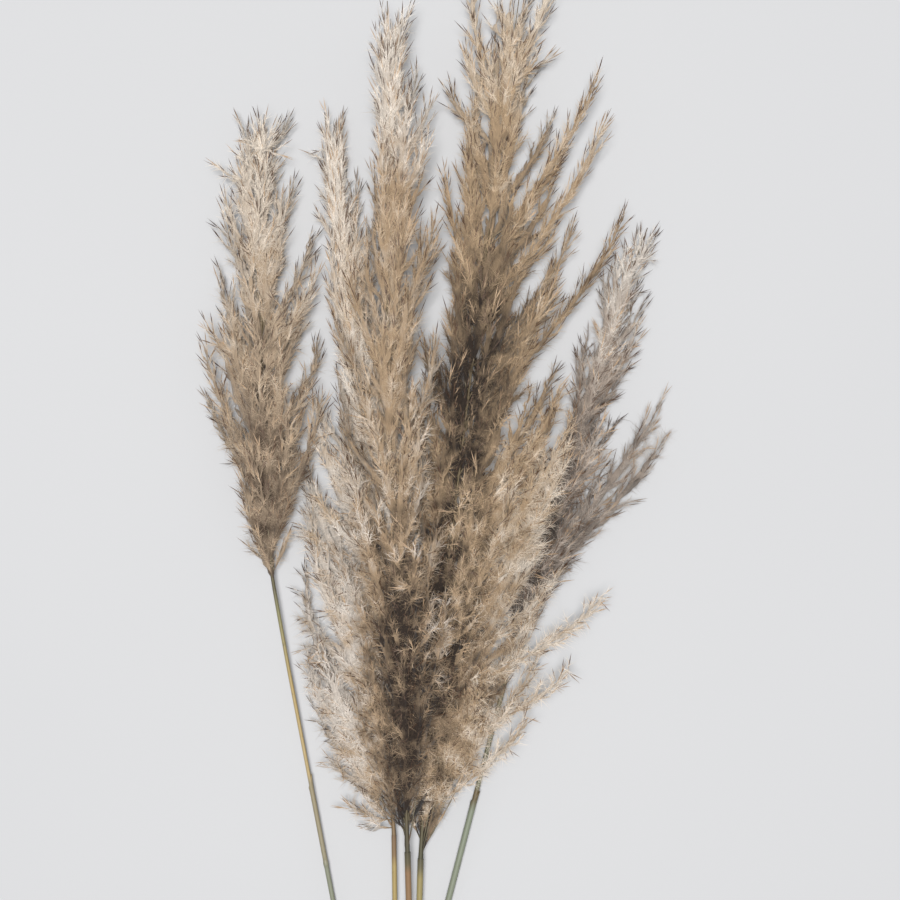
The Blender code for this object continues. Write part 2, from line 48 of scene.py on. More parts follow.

# %% [markdown]
# ## The five reeds
# The plumes must keep the form of the solids that they replace, so their middle lines and
# outlines are written down once, in millimetres, as the frame has them. An outline entry is
# (share of the plume's length, width to the left, width to the right). A spray is a side
# branch that stands clear of the rest, given by where it starts and where it ends. A bough is
# a full one, and the branches of a fan have long bare feet at the neck. The heart is where a
# plume is darkest, partly from its brown hair and partly as painted shade of its shaded
# inside: how far it lies right of the middle line, its half width, and (place along the
# bunch, strength) pairs. The tone is how pale the hair is, and the fluff how loose it stands,
# also by place. The knot and the sheath's mouth are so far from the cut end. They could be
# read from the frame's meshes, but a grower thinks in lines and outlines.

# %% Middle lines, outlines and sprays
REEDS = {
    "left": dict(
        stem=((-30.7, -300.6, 1.4), (-55.6, -169.0, 6.0), (-78.5, -46.8, 11.5),
              (-85.3, -7.8, 13.5)),
        radius=0.95, knot=150, sheath=195,
        rachis=((-90.0, 28.6, 15.5), (-92.0, 75.4, 17), (-91.5, 127.4, 17.5), (-93.1, 184.6, 16),
                (-90.5, 240.8, 14)),
        outline=((0, 2, 2), (0.1, 9, 12), (0.23, 15, 24), (0.36, 29, 31), (0.48, 29, 33),
                 (0.61, 25, 31), (0.73, 18, 27), (0.86, 22, 15), (0.95, 13, 7), (1, 4, 4)),
        depth=0.62, branches=100, reach=75, sprays=((0.9, (-75.4, 241.8, 10)),), twig=15, seed=3,
        heart=(0, 14, ((0, 0.4), (120, 0.35), (190, 0.1))),
        tone=((0, 0.38), (60, 0.44), (110, 0.64), (180, 0.94), (240, 1.35)),
        fluff=((0, 0.4), (120, 0.4), (240, 0.1))),
    "inner_left": dict(
        stem=((-20.4, -319.8, 4.9), (-22.2, -169.0, 11.6), (-22.6, -136.8, 13.0)), radius=1.3,
        knot=0, sheath=0,
        rachis=((-26.5, -85.8, 13.5), (-31.7, -23.4, 14), (-39, 49.4, 14.5), (-45.2, 111.8, 13),
                (-51.5, 179.4, 10), (-59.3, 242.8, 8)),
        outline=((0, 1, 1), (0.03, 22, 5), (0.08, 38, 11), (0.27, 48, 17), (0.46, 42, 24),
                 (0.56, 28, 28), (0.65, 14, 26), (0.83, 6, 18), (0.9, 4, 15), (0.96, 3, 9),
                 (1, 2, 4)),
        depth=0.55, branches=120, reach=85,
        sprays=((0.17, (-63, -38, 17)), (0.02, (-50, -122, 15)), (0.05, (-61, -96, 13)),
                (0.01, (-42, -134, 12))),
        twig=15, heart=(8, 16, ((-140, 0.65), (-20, 0.5), (40, 0.0))), seed=5,
        tone=((-140, 0.68), (-60, 1.0), (60, 0.97), (150, 0.84), (240, 1.2)),
        fluff=((-140, 1), (-30, 0.9), (60, 0.5), (150, 0.1))),
    "middle": dict(
        stem=((-13.8, -318.8, 1.8), (-14.7, -169.0, 19.5), (-15.3, -144.0, 22.4)), radius=1.6,
        knot=0, sheath=0,
        rachis=((-17.2, -75.4, 28.5), (-20.3, -2.6, 34), (-23.9, 70.2, 38), (-25.5, 143, 39),
                (-25.5, 221, 36), (-25.5, 296.4, 32)),
        outline=((0, 1, 1), (0.11, 21, 18), (0.3, 33, 27), (0.53, 30, 26), (0.7, 20, 27),
                 (0.79, 11, 28), (0.87, 9, 24), (0.94, 4, 17), (1, 2, 6)),
        depth=0.72, branches=115, reach=95, sprays=(), twig=15,
        fan=((0, (-20, -92, 24)), (0.001, (-13, -88, 28)), (0.003, (-24, -84, 22)),
             (0.004, (-9, -82, 23))),
        heart=(7, 21, ((-140, 0.4), (-95, 0.5), (-55, 1.0), (-10, 0.93), (40, 0.42), (130, 0.1))),
        seed=7,
        tone=((-140, 0.3), (-115, 0.46), (-60, 0.57), (20, 0.86), (80, 0.76), (180, 0.62),
              (240, 1.03), (300, 1.3)),
        fluff=((-140, 1), (-20, 0.9), (70, 0.4), (140, 0.1))),
    "inner_right": dict(
        stem=((-10.3, -316.2, 3.5), (-10.7, -221.0, 8.9), (-8.6, -149.2, 12.8)), radius=1.6,
        knot=0, sheath=0,
        rachis=((-4.2, -85.8, 14.5), (3.6, -13, 17), (13, 65, 18.5), (22.4, 143, 19),
                (32.2, 221, 18), (43.2, 303.2, 16)),
        outline=((0, 1, 1), (0.04, 5, 5), (0.095, 12, 20), (0.165, 20, 35), (0.235, 24, 54),
                 (0.31, 26, 62), (0.37, 28, 56), (0.44, 29, 63), (0.5, 28, 60), (0.54, 27, 51),
                 (0.72, 26, 45), (0.79, 27, 40), (0.86, 30, 27), (0.93, 28, 15), (1, 10, 12)),
        depth=0.5, branches=125, reach=105,
        boughs=((0.36, (48, 90, 27)), (0.42, (46, 122, 25)), (0.5, (42, 158, 24)),
                (0.24, (66, 60, 30)), (0.28, (68, 78, 32)), (0.31, (62, 92, 31)),
                (0.2, (58, 44, 27)), (0.33, (-2, 62, 14)), (0.3, (3, 48, 24)),
                (0.35, (2, 76, 25)), (0.42, (5, 104, 26)), (0.47, (8, 132, 27)),
                (0.53, (11, 162, 26)), (0.6, (15, 195, 24)), (0.45, (0, 118, 15))),
        sprays=((0.7, (85.8, 259.5, 33)), (0.62, (88.9, 235.6, 31)), (0.5, (100.4, 188.8, 30)),
                (0.12, (71.8, -46.8, 36)), (0.18, (90, -8.8, 37)), (0.05, (49.9, -71.8, 30)),
                (0.82, (17.2, 317, 24)), (0.88, (64, 319, 24))),
        twig=17,
        fan=((0, (17, -50, 26)), (0.002, (12, -46, 23)), (0.004, (23, -56, 27)),
             (0.006, (8, -44, 27)), (0.01, (29, -66, 26)), (0.014, (18, -72, 21))),
        heart=(-2, 28, ((-140, 0.38), (-95, 0.5), (-55, 0.92), (40, 0.96), (100, 0.84),
               (150, 0.46), (260, 0.15))),
        seed=11,
        tone=((-140, 0.2), (-112, 0.5), (-40, 0.7), (20, 0.86), (70, 0.7), (100, 0.5),
              (150, 0.54), (200, 0.72), (260, 0.85), (310, 1.05)),
        fluff=((-140, 1), (-10, 0.9), (60, 0.5), (140, 0.15))),
    "right": dict(
        stem=((-28.2, -304.2, 1.9), (6.8, -169.0, 6.0), (39.0, -44.2, 9.6)), radius=1.25, knot=60,
        sheath=193,
        rachis=((50.4, -2.6, 9), (65, 49.4, 8.5), (80.6, 96.2, 8.5), (96.2, 143, 8.5),
                (110.8, 182, 8)),
        outline=((0, 2, 2), (0.14, 8, 16), (0.41, 12, 20), (0.6, 9, 19), (0.69, 9, 19),
                 (0.83, 13, 11), (0.95, 7, 6), (1, 2, 2)),
        depth=0.66, branches=80, reach=62, twig=9,
        boughs=((0.18, (115, 86, 12)), (0.2, (117, 65, 11))), sprays=((0.1, (88, 38, 9)),),
        heart=(-2, 18, ((0, 0.8), (55, 0.5), (75, 0.2), (110, 0.0))), seed=13,
        tone=((0, 0.42), (60, 0.5), (80, 0.44), (110, 0.6), (150, 0.84), (190, 1.15)),
        fluff=((0, 0.5), (80, 0.4), (190, 0.1))),
}
print(len(REEDS), "reeds")

# %% [markdown]
# ## Where one plume ends and the next begins
# Plumes that lie together press on each other. Each pair of neighbours is parted by a plane,
# as in the frame: a point on it, and its normal, which points from the first to the second.

# %% Parting planes
PARTINGS = (
    ("middle", "inner_right", (-24.9, -143, 0), (0.8, 0.006, -0.6)),
    ("middle", "inner_left", (-0.5, 0, 0), (-0.6, -0.02, -0.8)),
    ("inner_left", "inner_right", (-15, 0, 0), (1, 0, 0)),
    ("left", "inner_left", (-66.5, 49.4, 10), (1, -0.015, -0.39)),
    ("left", "middle", (-57.3, 0, 0), (1, 0, 0)),
    ("right", "inner_right", (0, 0, 3), (-0.35, 0.04, 1)),
)
CLEARANCE = -4.0
BRANCH_CLEARANCE = -1.0
SETTLE_ROUNDS = 4


def unit(vectors):
    return vectors / np.maximum(np.linalg.norm(vectors, axis=-1, keepdims=True), 1e-9)


def length_of(line):
    return np.linalg.norm(np.diff(line, axis=0), axis=1).sum()


def own_side(name):
    """The planes round one plume, as (unit normal, limit): inside is normal . point < limit."""
    planes = []
    for first, second, point, normal in PARTINGS:
        if name in (first, second):
            facing = unit(np.array(normal, float)) * (1 if name == first else -1)
            planes.append((facing, facing @ np.array(point, float)))
    return planes


def settle(points, planes, clearance=CLEARANCE):
    """Moves points back to their own side of every plane."""
    points = np.array(points, float)
    for _ in range(SETTLE_ROUNDS):
        for facing, limit in planes:
            over = np.maximum(points @ facing + clearance - limit, 0)
            points -= over[..., None] * facing
    return points


print(len(PARTINGS), "planes part the plumes")

# %% [markdown]
# ## One spikelet, modelled
# A reed's spikelet is a short stalk, one or two narrow brown scales that part like a beak,
# and long silky hair between them. Painted cards with a picture of hair would be cheaper,
# but they look flat from the side. Here each hair is a three-sided needle and each scale a
# three-sided spindle, the fewest faces that still close, because they repeat by the thousand.
# There are five kinds: full ones, two plainer ones for deep inside and for the underside,
# slim ones for the tips of branches, and fluffy ones for the loose hair low in the plume. A
# twig and a tuft of down are modelled one millimetre long and stretched as they are copied.

# %% Sizes of a spikelet, in millimetres
STALK = 3.0
SCALE_LENGTH = (7.5, 10.5)
SCALE_WIDTH = 0.5
SCALE_WIDEST = 0.35
STALKED_WIDEST = 0.65
SCALE_ROOT = 2.5
SECOND_SCALE = 0.55
SCALE_LEAN = (6, 24)
HAIR_LENGTH = (5.0, 8.0)
HAIR_WIDTH = 0.2
HAIR_ROOTS = (-3.0, 3.5)
TUFT_WIDEST = 0.6
TUFT_SIDES = 4
STALK_LEAN = (0, 4)
SECOND_TURN = (-25, 25)
HAIR_TURN = (-20, 20)
GOLDEN_DEGREES = 137.5
KINDS = {
    "full": dict(count=8, hairs=18, hair_size=0.9, hair_lean=(8, 68), scale_size=1.08),
    "deep": dict(count=4, hairs=10, hair_size=1.0, hair_lean=(8, 68), scale_size=0.5),
    "hidden": dict(count=3, hairs=4, hair_size=1.0, hair_lean=(5, 52), scale_size=0.5),
    "tip": dict(count=4, hairs=10, hair_size=0.75, hair_lean=(5, 50), scale_size=1.0),
    "fluffy": dict(count=6, hairs=21, hair_size=1.12, hair_lean=(15, 80), scale_size=0.6),
}


def deselect():
    if bpy.context.object and bpy.context.object.mode != "OBJECT":
        bpy.ops.object.mode_set(mode="OBJECT")
    bpy.ops.object.select_all(action="DESELECT")


def select_only(piece):
    deselect()
    piece.select_set(True)
    bpy.context.view_layer.objects.active = piece


def add_needle(length, width, root, turn):
    """A closed needle along +Z that is then leant and turned about its root."""
    deselect()
    bpy.ops.mesh.primitive_cone_add(vertices=3, radius1=width / 2, depth=length)
    needle = bpy.context.object
    needle.data.transform(Matrix.Translation((0, 0, length / 2)))
    needle.matrix_world = Matrix.Translation((0, 0, root)) @ turn
    return needle


def add_scale(length, widest, root, turn, width=SCALE_WIDTH, sides=3):
    """A closed spindle, widest at a share of its length: an open cone, its rim drawn to a point."""
    deselect()
    bpy.ops.mesh.primitive_cone_add(vertices=sides, radius1=width / 2,
                                    depth=length * (1 - widest), end_fill_type="NOTHING")
    scale = bpy.context.object
    bpy.ops.object.mode_set(mode="EDIT")
    bpy.ops.mesh.select_mode(type="VERT")
    bpy.ops.mesh.select_all(action="DESELECT")
    bpy.ops.object.mode_set(mode="OBJECT")
    for corner in scale.data.vertices:
        corner.select = corner.co.z < 0
    bpy.ops.object.mode_set(mode="EDIT")
    bpy.ops.mesh.extrude_region_move(TRANSFORM_OT_translate={"value": (0, 0, -length * widest)})
    bpy.ops.mesh.merge(type="CENTER")
    bpy.ops.mesh.select_all(action="SELECT")
    bpy.ops.mesh.normals_make_consistent(inside=False)
    bpy.ops.object.mode_set(mode="OBJECT")
    low = min(corner.co.z for corner in scale.data.vertices)
    scale.data.transform(Matrix.Translation((0, 0, -low)))
    scale.matrix_world = Matrix.Translation((0, 0, root)) @ turn
    return scale


def leaning(lean, around):
    lean, around = math.radians(lean), math.radians(around)
    return Matrix.Rotation(around, 4, "Z") @ Matrix.Rotation(lean, 4, "Y")


# %% Read a shape's corners and triangles, and take the object away
def threes_of(items, key, kind=float):
    """Three numbers for each item of a mesh, such as a corner's place, read in one go."""
    values = np.empty(len(items) * 3, kind)
    items.foreach_get(key, values)
    return values.reshape(-1, 3)


def take_arrays(objects):
    """Corners in world space, triangles, and each corner's height above the root, 0 to 1."""
    corners, triangles, heights, start = [], [], [], 0
    for piece in objects:
        mesh = piece.data
        mesh.transform(piece.matrix_world)
        mesh.calc_loop_triangles()
        places = threes_of(mesh.vertices, "co")
        reach = np.linalg.norm(places - np.array(piece.matrix_world.translation), axis=1)
        corners.append(places)
        triangles.append(threes_of(mesh.loop_triangles, "vertices", int) + start)
        heights.append(reach / reach.max())
        start += len(places)
    for piece in objects:
        mesh = piece.data
        bpy.data.objects.remove(piece, do_unlink=True)
        bpy.data.meshes.remove(mesh)
    return np.concatenate(corners), np.concatenate(triangles), np.concatenate(heights)


def model_spikelet(draw, hairs, hair_size, hair_lean, scale_size):
    """One kind of spikelet, as two sets of arrays: scales, of which one has a stalk, and hair."""
    plane = draw.uniform(0, 360)
    length = STALK + draw.uniform(*SCALE_LENGTH) * scale_size
    hard = [add_scale(length, STALKED_WIDEST, -STALK, leaning(draw.uniform(*STALK_LEAN), plane))]
    if draw.uniform() < SECOND_SCALE:
        around = plane + 180 + draw.uniform(*SECOND_TURN)
        length = draw.uniform(*SCALE_LENGTH) * scale_size - SCALE_ROOT
        turn = leaning(draw.uniform(*SCALE_LEAN), around)
        hard.append(add_scale(length, SCALE_WIDEST, SCALE_ROOT, turn))
    hair = []
    for k in range(hairs):
        lean = draw.uniform(*hair_lean)
        around = GOLDEN_DEGREES * k + draw.uniform(*HAIR_TURN)
        length, root = draw.uniform(*HAIR_LENGTH) * hair_size, draw.uniform(*HAIR_ROOTS)
        hair.append(add_needle(length, HAIR_WIDTH, root, leaning(lean, around)))
    return take_arrays(hard), take_arrays(hair)


kinds_draw = np.random.default_rng(1)
SPIKELETS = []
NUMBERS = {}
for label, kind in KINDS.items():
    first = len(SPIKELETS)
    sizes = {key: value for key, value in kind.items() if key != "count"}
    SPIKELETS += [model_spikelet(kinds_draw, **sizes) for _ in range(kind["count"])]
    NUMBERS[label] = (first, len(SPIKELETS))
TWIG = take_arrays([add_needle(1, 1, 0, leaning(0, 0))])
TUFT = take_arrays([add_scale(1, TUFT_WIDEST, 0, leaning(0, 0), 1, TUFT_SIDES)])
print("spikelets have", [len(hard[1]) + len(hair[1]) for hard, hair in SPIKELETS], "triangles")

# %% [markdown]
# ## Lines that a plume grows on
# The thin end of the stem runs on through the plume, and side branches leave it steeply and
# bend up. A curve object could draw them, but the spikelets need points and directions along
# them, so they are worked out first, and the same points later become the curves.

# %% A smooth line through a few points
LINE_STEPS = 240
NECK = 6.0
SEAT = 0.3


def between(places, stations, rows):
    """Rows of three numbers, read at places between their stations."""
    return np.stack([np.interp(places, stations, rows[:, k]) for k in range(3)], axis=-1)


def smooth_line(points, window=0.05):
    """Even points along the straight runs, then rounded off at the bends."""
    points = np.array(points, float)
    steps = np.linalg.norm(np.diff(points, axis=0), axis=1)
    stations = np.concatenate([[0], np.cumsum(steps)]) / steps.sum()
    shares = np.linspace(0, 1, LINE_STEPS + 1)
    line = between(shares, stations, points)
    reach = int(LINE_STEPS * window)
    before, after = 2 * line[0] - line[reach:0:-1], 2 * line[-1] - line[-2:-reach - 2:-1]
    padded = np.concatenate([before, line, after])
    weights = np.hanning(2 * reach + 1)
    weights /= weights.sum()
    return np.stack([np.convolve(padded[:, k], weights, "valid") for k in range(3)], axis=1)


def read_line(line, shares):
    """Points and forward directions of a line at some shares of its length."""
    place = np.clip(np.asarray(shares, float), 0, 1) * (len(line) - 1)
    index = np.arange(len(line))
    slopes = np.gradient(line, axis=0)
    return between(place, index, line), unit(between(place, index, slopes))


def rachis_of(reed):
    top, below = np.array(reed["stem"][-1]), np.array(reed["stem"][-2])
    along = unit(top - below)
    start = top + along * SEAT
    return smooth_line([start, start + along * NECK, *reed["rachis"]])


print(len(rachis_of(REEDS["middle"])), "points on the middle plume's line")


# %% Side branches
GOLDEN = 0.618034
INSET = 7.0
TIP_ROOM = (9.0, 45.0)
TWIG_ROOM = 4.5
LAST_BRANCH = 0.95
LOOSE = 3
LOOSE_OUT = (0.85, 1.03)
CROWDING = 1.1
REACH_SHARES = (1.0, 0.62, 0.85, 0.5, 0.75)
BEND = 1.3
REACH_RANGE = (0.85, 1.15)
LATE_SHORTENING = 0.5
SHORTEST_RUN = 0.01
DEPTH_RANGE = (0.92, 1.04)
TURN_RANGE = (-0.04, 0.04)
WAVES = (1, 2)
WAVE_HEIGHT = 1.0
TWIG_REACH = 0.33
LEAST_ROOM = 2
LEAST_WIDTH = 3
BRANCH_STEPS = 9
FLOOR_ROOM = 2.5
DEPTHS = (1.0, 0.72, 0.95, 0.5, 0.85, 0.98, 0.62)


def outline_at(reed, share):
    shares, left, right = zip(*reed["outline"])
    return np.interp(share, shares, left), np.interp(share, shares, right)


def across(reed, line, share, turn, scale, inset):
    """The way out from the middle line to the outline, at a turn from 0 to 1 around it."""
    left, right = outline_at(reed, share)
    _, forward = read_line(line, share)
    side = unit(np.cross(forward, (0, 0, 1)))
    up = np.cross(side, forward)
    border = right / (left + right)
    if turn < border:
        angle, width = math.pi * (turn / border - 0.5), right
    else:
        angle, width = math.pi * ((turn - border) / (1 - border) + 0.5), left
    height = max(reed["depth"] * (left + right) / 2 - inset, 1) * scale
    width = max(width - inset, 1) * scale
    return side * math.cos(angle) * width + up * math.sin(angle) * height


def middle_at(line, points):
    """How far along the middle line some points are, and its place there."""
    share = np.interp(points[:, 1], line[:, 1], np.linspace(0, 1, len(line)))
    return share, read_line(line, share)[0]


def place_in(reed, line, points):
    """Sideways and upward distances from the middle line, and the outline's there."""
    share, middle = middle_at(line, points)
    left, right = outline_at(reed, share)
    offsets = points - middle
    width = np.maximum(np.where(offsets[:, 0] > 0, right, left), LEAST_WIDTH)
    height = np.maximum(reed["depth"] * (left + right) / 2, LEAST_WIDTH)
    return offsets, width, height


def way_out(offsets, width, height):
    """Directions away from the middle line, as if the outline were round."""
    return unit(offsets * (1, 0, 1) / np.stack([width, width, height], axis=1))


def how_far_out(reed, line, points):
    """0 on the plume's middle line and 1 on its outline."""
    offsets, width, height = place_in(reed, line, points)
    return np.hypot(offsets[:, 0] / width, offsets[:, 2] / height)


def tuck(reed, line, path):
    """Draws a branch in where its twigs would stand out of the plume's outline."""
    offsets, width, height = place_in(reed, line, path)
    twigs = TWIG_ROOM + TWIG_REACH * reed["twig"]
    beside, above = (np.maximum(reach - twigs, LEAST_ROOM) for reach in (width, height))
    out = np.hypot(offsets[:, 0] / beside, offsets[:, 2] / above)
    pull = np.where(out > 1, 1 / np.maximum(out, 1e-6), 1)[:, None]
    return path - offsets * (1 - pull) * (1, 0, 1)


def is_loose(reed, k):
    """Sprays, and every third branch, stand out of the mass, with short twigs."""
    last_full = reed["branches"] + len(reed.get("boughs", ()))
    return k >= last_full or (k % LOOSE == 0 and k < reed["branches"])


def branch_lines(name, reed, line, draw):
    """The middle lines of all side branches, bent clear of the neighbouring plumes."""
    planes = own_side(name)
    length = length_of(line)
    ends = []
    for k in range(reed["branches"]):
        start = LAST_BRANCH * ((k + 0.5) / reed["branches"]) ** CROWDING
        reach = reed["reach"] * REACH_SHARES[k % len(REACH_SHARES)]
        reach *= draw.uniform(*REACH_RANGE)
        room = TIP_ROOM[0] + (TIP_ROOM[1] - TIP_ROOM[0]) * draw.uniform() ** 2
        end = min(start + reach / length * (1 - LATE_SHORTENING * start), 1 - room / length)
        end = max(start + SHORTEST_RUN, end)
        out, inset = DEPTHS[k % len(DEPTHS)] * draw.uniform(*DEPTH_RANGE), INSET
        if is_loose(reed, k):
            out, inset = draw.uniform(*LOOSE_OUT), 0
        turn = (k * GOLDEN + draw.uniform(*TURN_RANGE)) % 1.0
        ends.append((start, read_line(line, end)[0] + across(reed, line, end, turn, out, inset)))
    ends += [(start, np.array(tip, float)) for start, tip in reed.get("boughs", ())]
    for start, tip in (*reed["sprays"], *reed.get("fan", ())):
        away = unit(np.array(tip, float) - read_line(line, start)[0])
        ends.append((start, np.array(tip, float) - away * TIP_ROOM[0]))
    found = []
    s = np.linspace(0, 1, BRANCH_STEPS)[:, None]
    for k, (start, tip) in enumerate(ends):
        base, forward = read_line(line, start)
        span = tip - base
        ahead = forward * (span @ forward)
        aside = span - ahead
        path = base + ahead * s + aside * (1 - (1 - s) ** BEND)
        wave = np.sin(s * math.pi * draw.uniform(*WAVES)) * draw.normal(0, WAVE_HEIGHT, 3)
        if k < reed["branches"] and not is_loose(reed, k):
            path = tuck(reed, line, path)
        path = settle(path + wave, planes, BRANCH_CLEARANCE)
        path[:, 2] = np.maximum(path[:, 2], FLOOR_ROOM)
        path[0] = base
        found.append(path)
    return found


# %% [markdown]
# ## Growing the plumes
# A side branch bears twigs all round, a golden turn apart, long near its base and short near
# its tip, so that it ends in a point. The twigs bear the spikelets. Copies with their own
# mesh, joined into one piece for each plume and finish, are a plain way to have thousands of
# them. Particles or instances would be lighter, but they are lost when the model is saved
# for other programs. Six attributes go with every corner for the materials to read: how far
# out in the plume it is, which the finish uses to paint shade and light by depth, how near
# the dark heart, whose darkness is partly brown hair and partly painted shade, how pale and
# how loose the hair is there, how ripe its own spikelet is, and how near it is to the tip of
# its own hair.

# %% Twigs and spikelets along a branch
TWIG_SPACING = 4.2
TWIG_START = 0.08
BARE_FAN = 0.5
TWIG_SHARE = 0.3
SHORTEST_TWIG = 2.5
LOOSE_TWIG = 4.5
LOOSE_SPACING = 2.4
TWIG_LEAN = (14, 30)
TWIG_WIDTH = 0.35
SPIKE_SPACING = 3.1
SPIKE_LEAN = (4, 22)
UPWARD = 0.35
SIZES = (0.8, 1.15)
TWIG_SHIFT = 0.6
TWIG_LENGTHS = (0.8, 1.2)
UNEVENNESS = 0.07


def leant(forward, out, degrees):
    lean = np.radians(degrees)[..., None]
    return forward * np.cos(lean) + out * np.sin(lean)


def round_about(forward, draw):
    """Directions square to each forward one, a golden turn apart."""
    side = unit(np.cross(forward, draw.normal(0, 1, 3)))
    up = np.cross(forward, side)
    turn = 2 * math.pi * (GOLDEN * np.arange(len(forward)) + draw.uniform())[:, None]
    return side * np.cos(turn) + up * np.sin(turn)


def bare_share(reed, paths, k):
    """How much of a branch's foot is bare: half on the last ones, which fan out at the neck."""
    return BARE_FAN if k >= len(paths) - len(reed.get("fan", ())) else TWIG_START


def twigs_of(path, longest, spacing, bare, draw):
    """Feet and tips of a branch's twigs, and how far along the branch each is."""
    length = length_of(path)
    count = max(3, int(length * (1 - bare) / spacing))
    shares = bare + (1 - bare) * (np.arange(count) + draw.uniform(0, TWIG_SHIFT, count)) / count
    feet, forward = read_line(path, shares)
    lengths = np.clip(TWIG_SHARE * length * (1 - shares), SHORTEST_TWIG, longest)
    lengths *= draw.uniform(*TWIG_LENGTHS, count)
    out = round_about(forward, draw)
    tips = feet + leant(forward, out, draw.uniform(*TWIG_LEAN, count)) * lengths[:, None]
    end, ahead = read_line(path, 1.0)
    tips = np.vstack([tips, end + ahead * SHORTEST_TWIG])
    return np.vstack([feet, end]), tips, np.append(shares, 1.0)


def spikelets_of(feet, tips, shares, growth, draw):
    """Spikelets on some twigs: roots, axes, shares of the branch, and the twig of each."""
    roots, axes, places, owners = [], [], [], []
    for twig, (foot, tip, place) in enumerate(zip(feet, tips, shares)):
        run = tip - foot
        length = np.linalg.norm(run)
        count = max(1, round(length / SPIKE_SPACING))
        shares = (np.arange(count) + 1) / count
        forward = np.repeat(unit(run)[None], count, axis=0)
        lean = draw.uniform(*SPIKE_LEAN, count)
        lean[-1] = 0
        axis = leant(forward, round_about(forward, draw), lean)
        axis = unit(axis + UPWARD * growth + draw.normal(0, UNEVENNESS, axis.shape))
        roots.append(foot + run * shares[:, None] + axis * STALK)
        axes.append(axis)
        places.append(np.full(count, place))
        owners.append(np.full(count, twig))
    return tuple(np.concatenate(found) for found in (roots, axes, places, owners))


# %% A whole plume
BURIED_OUT = 0.45
DEEP_OUT = 0.6
DEEP_BELOW = 10.0
UNDERSIDE = -0.35
TIP_FROM = 0.8
TIP_DELAY = 0.15
OUTWARD = 0.45
STRAY = 0.7
UNRULY = 0.15
BRANCH_AGES = 0.35
TWIG_AGES = 0.5
SPIKELET_AGES = 0.3
LOOSE_LATER = 0.15
FULL_LATER = -0.1
TIP_BLUR = 0.1


def by_pairs(points, pairs):
    """A value by the place along the bunch, between (place, value) pairs."""
    return np.interp(points[:, 1], *zip(*pairs))


def heart_and_shade_of(reed, line, points):
    """How near the dark heart of the plume, as seen from above, 0 to 1; its darkness is partly
    brown hair and partly painted shade.
    """
    offset, width, strengths = reed["heart"]
    _, middle = middle_at(line, points)
    aside = (points[:, 0] - middle[:, 0] - offset) / width
    return np.exp(-aside ** 2) * by_pairs(points, strengths)


def grow(name, reed):
    """All twigs and spikelets of a plume."""
    draw = np.random.default_rng(reed["seed"])
    line = rachis_of(reed)
    growth = unit(line[-1] - line[0])
    paths = branch_lines(name, reed, line, draw)
    branches = []
    for k, path in enumerate(paths):
        is_spray = is_loose(reed, k)
        longest, spacing = (LOOSE_TWIG, LOOSE_SPACING) if is_spray else (reed["twig"], TWIG_SPACING)
        feet, tips, shares = twigs_of(path, longest, spacing, bare_share(reed, paths, k), draw)
        roots, axes, places, twig = spikelets_of(feet, tips, shares, growth, draw)
        twig_ages = draw.normal(0, BRANCH_AGES) + draw.normal(0, TWIG_AGES, len(feet))
        ages = twig_ages[twig] + draw.normal(0, SPIKELET_AGES, len(roots))
        strays = draw.normal(0, STRAY, (len(feet), 3))[twig]
        strays = strays + draw.normal(0, UNRULY, (len(roots), 3))
        branches.append(dict(
            feet=feet, tips=tips, twig_ages=twig_ages, roots=roots, axes=axes, ages=ages,
            strays=strays, places=places + (LOOSE_LATER if is_spray else FULL_LATER)))
    every = {key: np.concatenate([branch[key] for branch in branches]) for key in branches[0]}
    for key in ("feet", "tips", "roots"):
        every[key] = settle(every[key], own_side(name))
    roots = every["roots"]
    offsets, width, height = place_in(reed, line, roots)
    beside = offsets[:, 0] / width
    top = height * np.sqrt(np.clip(1 - beside ** 2, 0, 1))
    out = np.hypot(beside, offsets[:, 2] / height)
    deep = (out < DEEP_OUT) & (offsets[:, 2] < top - DEEP_BELOW)
    buried = (out < BURIED_OUT) & (offsets[:, 2] < 0)
    underneath = offsets[:, 2] / height < UNDERSIDE
    fluff = by_pairs(roots, reed["fluff"])
    kinds = draw.integers(*NUMBERS["full"], len(roots))
    fluffy = draw.uniform(size=len(roots)) < fluff
    for label, those in (("fluffy", fluffy), ("deep", deep), ("hidden", underneath)):
        kinds[those] = draw.integers(*NUMBERS[label], those.sum())
    near_tip = every["places"] + draw.normal(0, TIP_BLUR, len(roots))
    at_tip = near_tip > TIP_FROM + TIP_DELAY * fluff
    kinds[at_tip] = draw.integers(*NUMBERS["tip"], at_tip.sum())
    aside = OUTWARD * way_out(offsets, width, height) + every["strays"]
    spikelets = dict(
        roots=roots, axes=unit(every["axes"] + fluff[:, None] * aside),
        sizes=draw.uniform(*SIZES, len(roots)), kinds=kinds,
        rolls=draw.uniform(0, 2 * math.pi, len(roots)), ages=every["ages"])
    grown = {key: values[~buried] for key, values in spikelets.items()}
    twigs = {key: every[key] for key in ("feet", "tips", "twig_ages")}
    return line, paths, {**grown, **twigs}


# %% [markdown]
# ## Copies, and light in fluff
# Every copy is the modelled shape's corners, sized, turned and moved, worked out all at once
# as arrays. Lit each by itself, thousands of needles glitter like wire, while in real fluff
# light spreads from hair to hair. So the shading normals lean from a needle's own to the way
# out of the whole plume, and a little to above. A translucent hair shader would do the same,
# with a far longer render.

# %% Copies with their own mesh
FLOOR_SOFTNESS = 2.5
OF_HAIR = 0.15
OF_PLUME = 0.45
OF_SPIKELET = 0.12
OF_ABOVE = 0.3
LEAST_UPWARD = -0.4
SHORT_OF_UP = 0.9


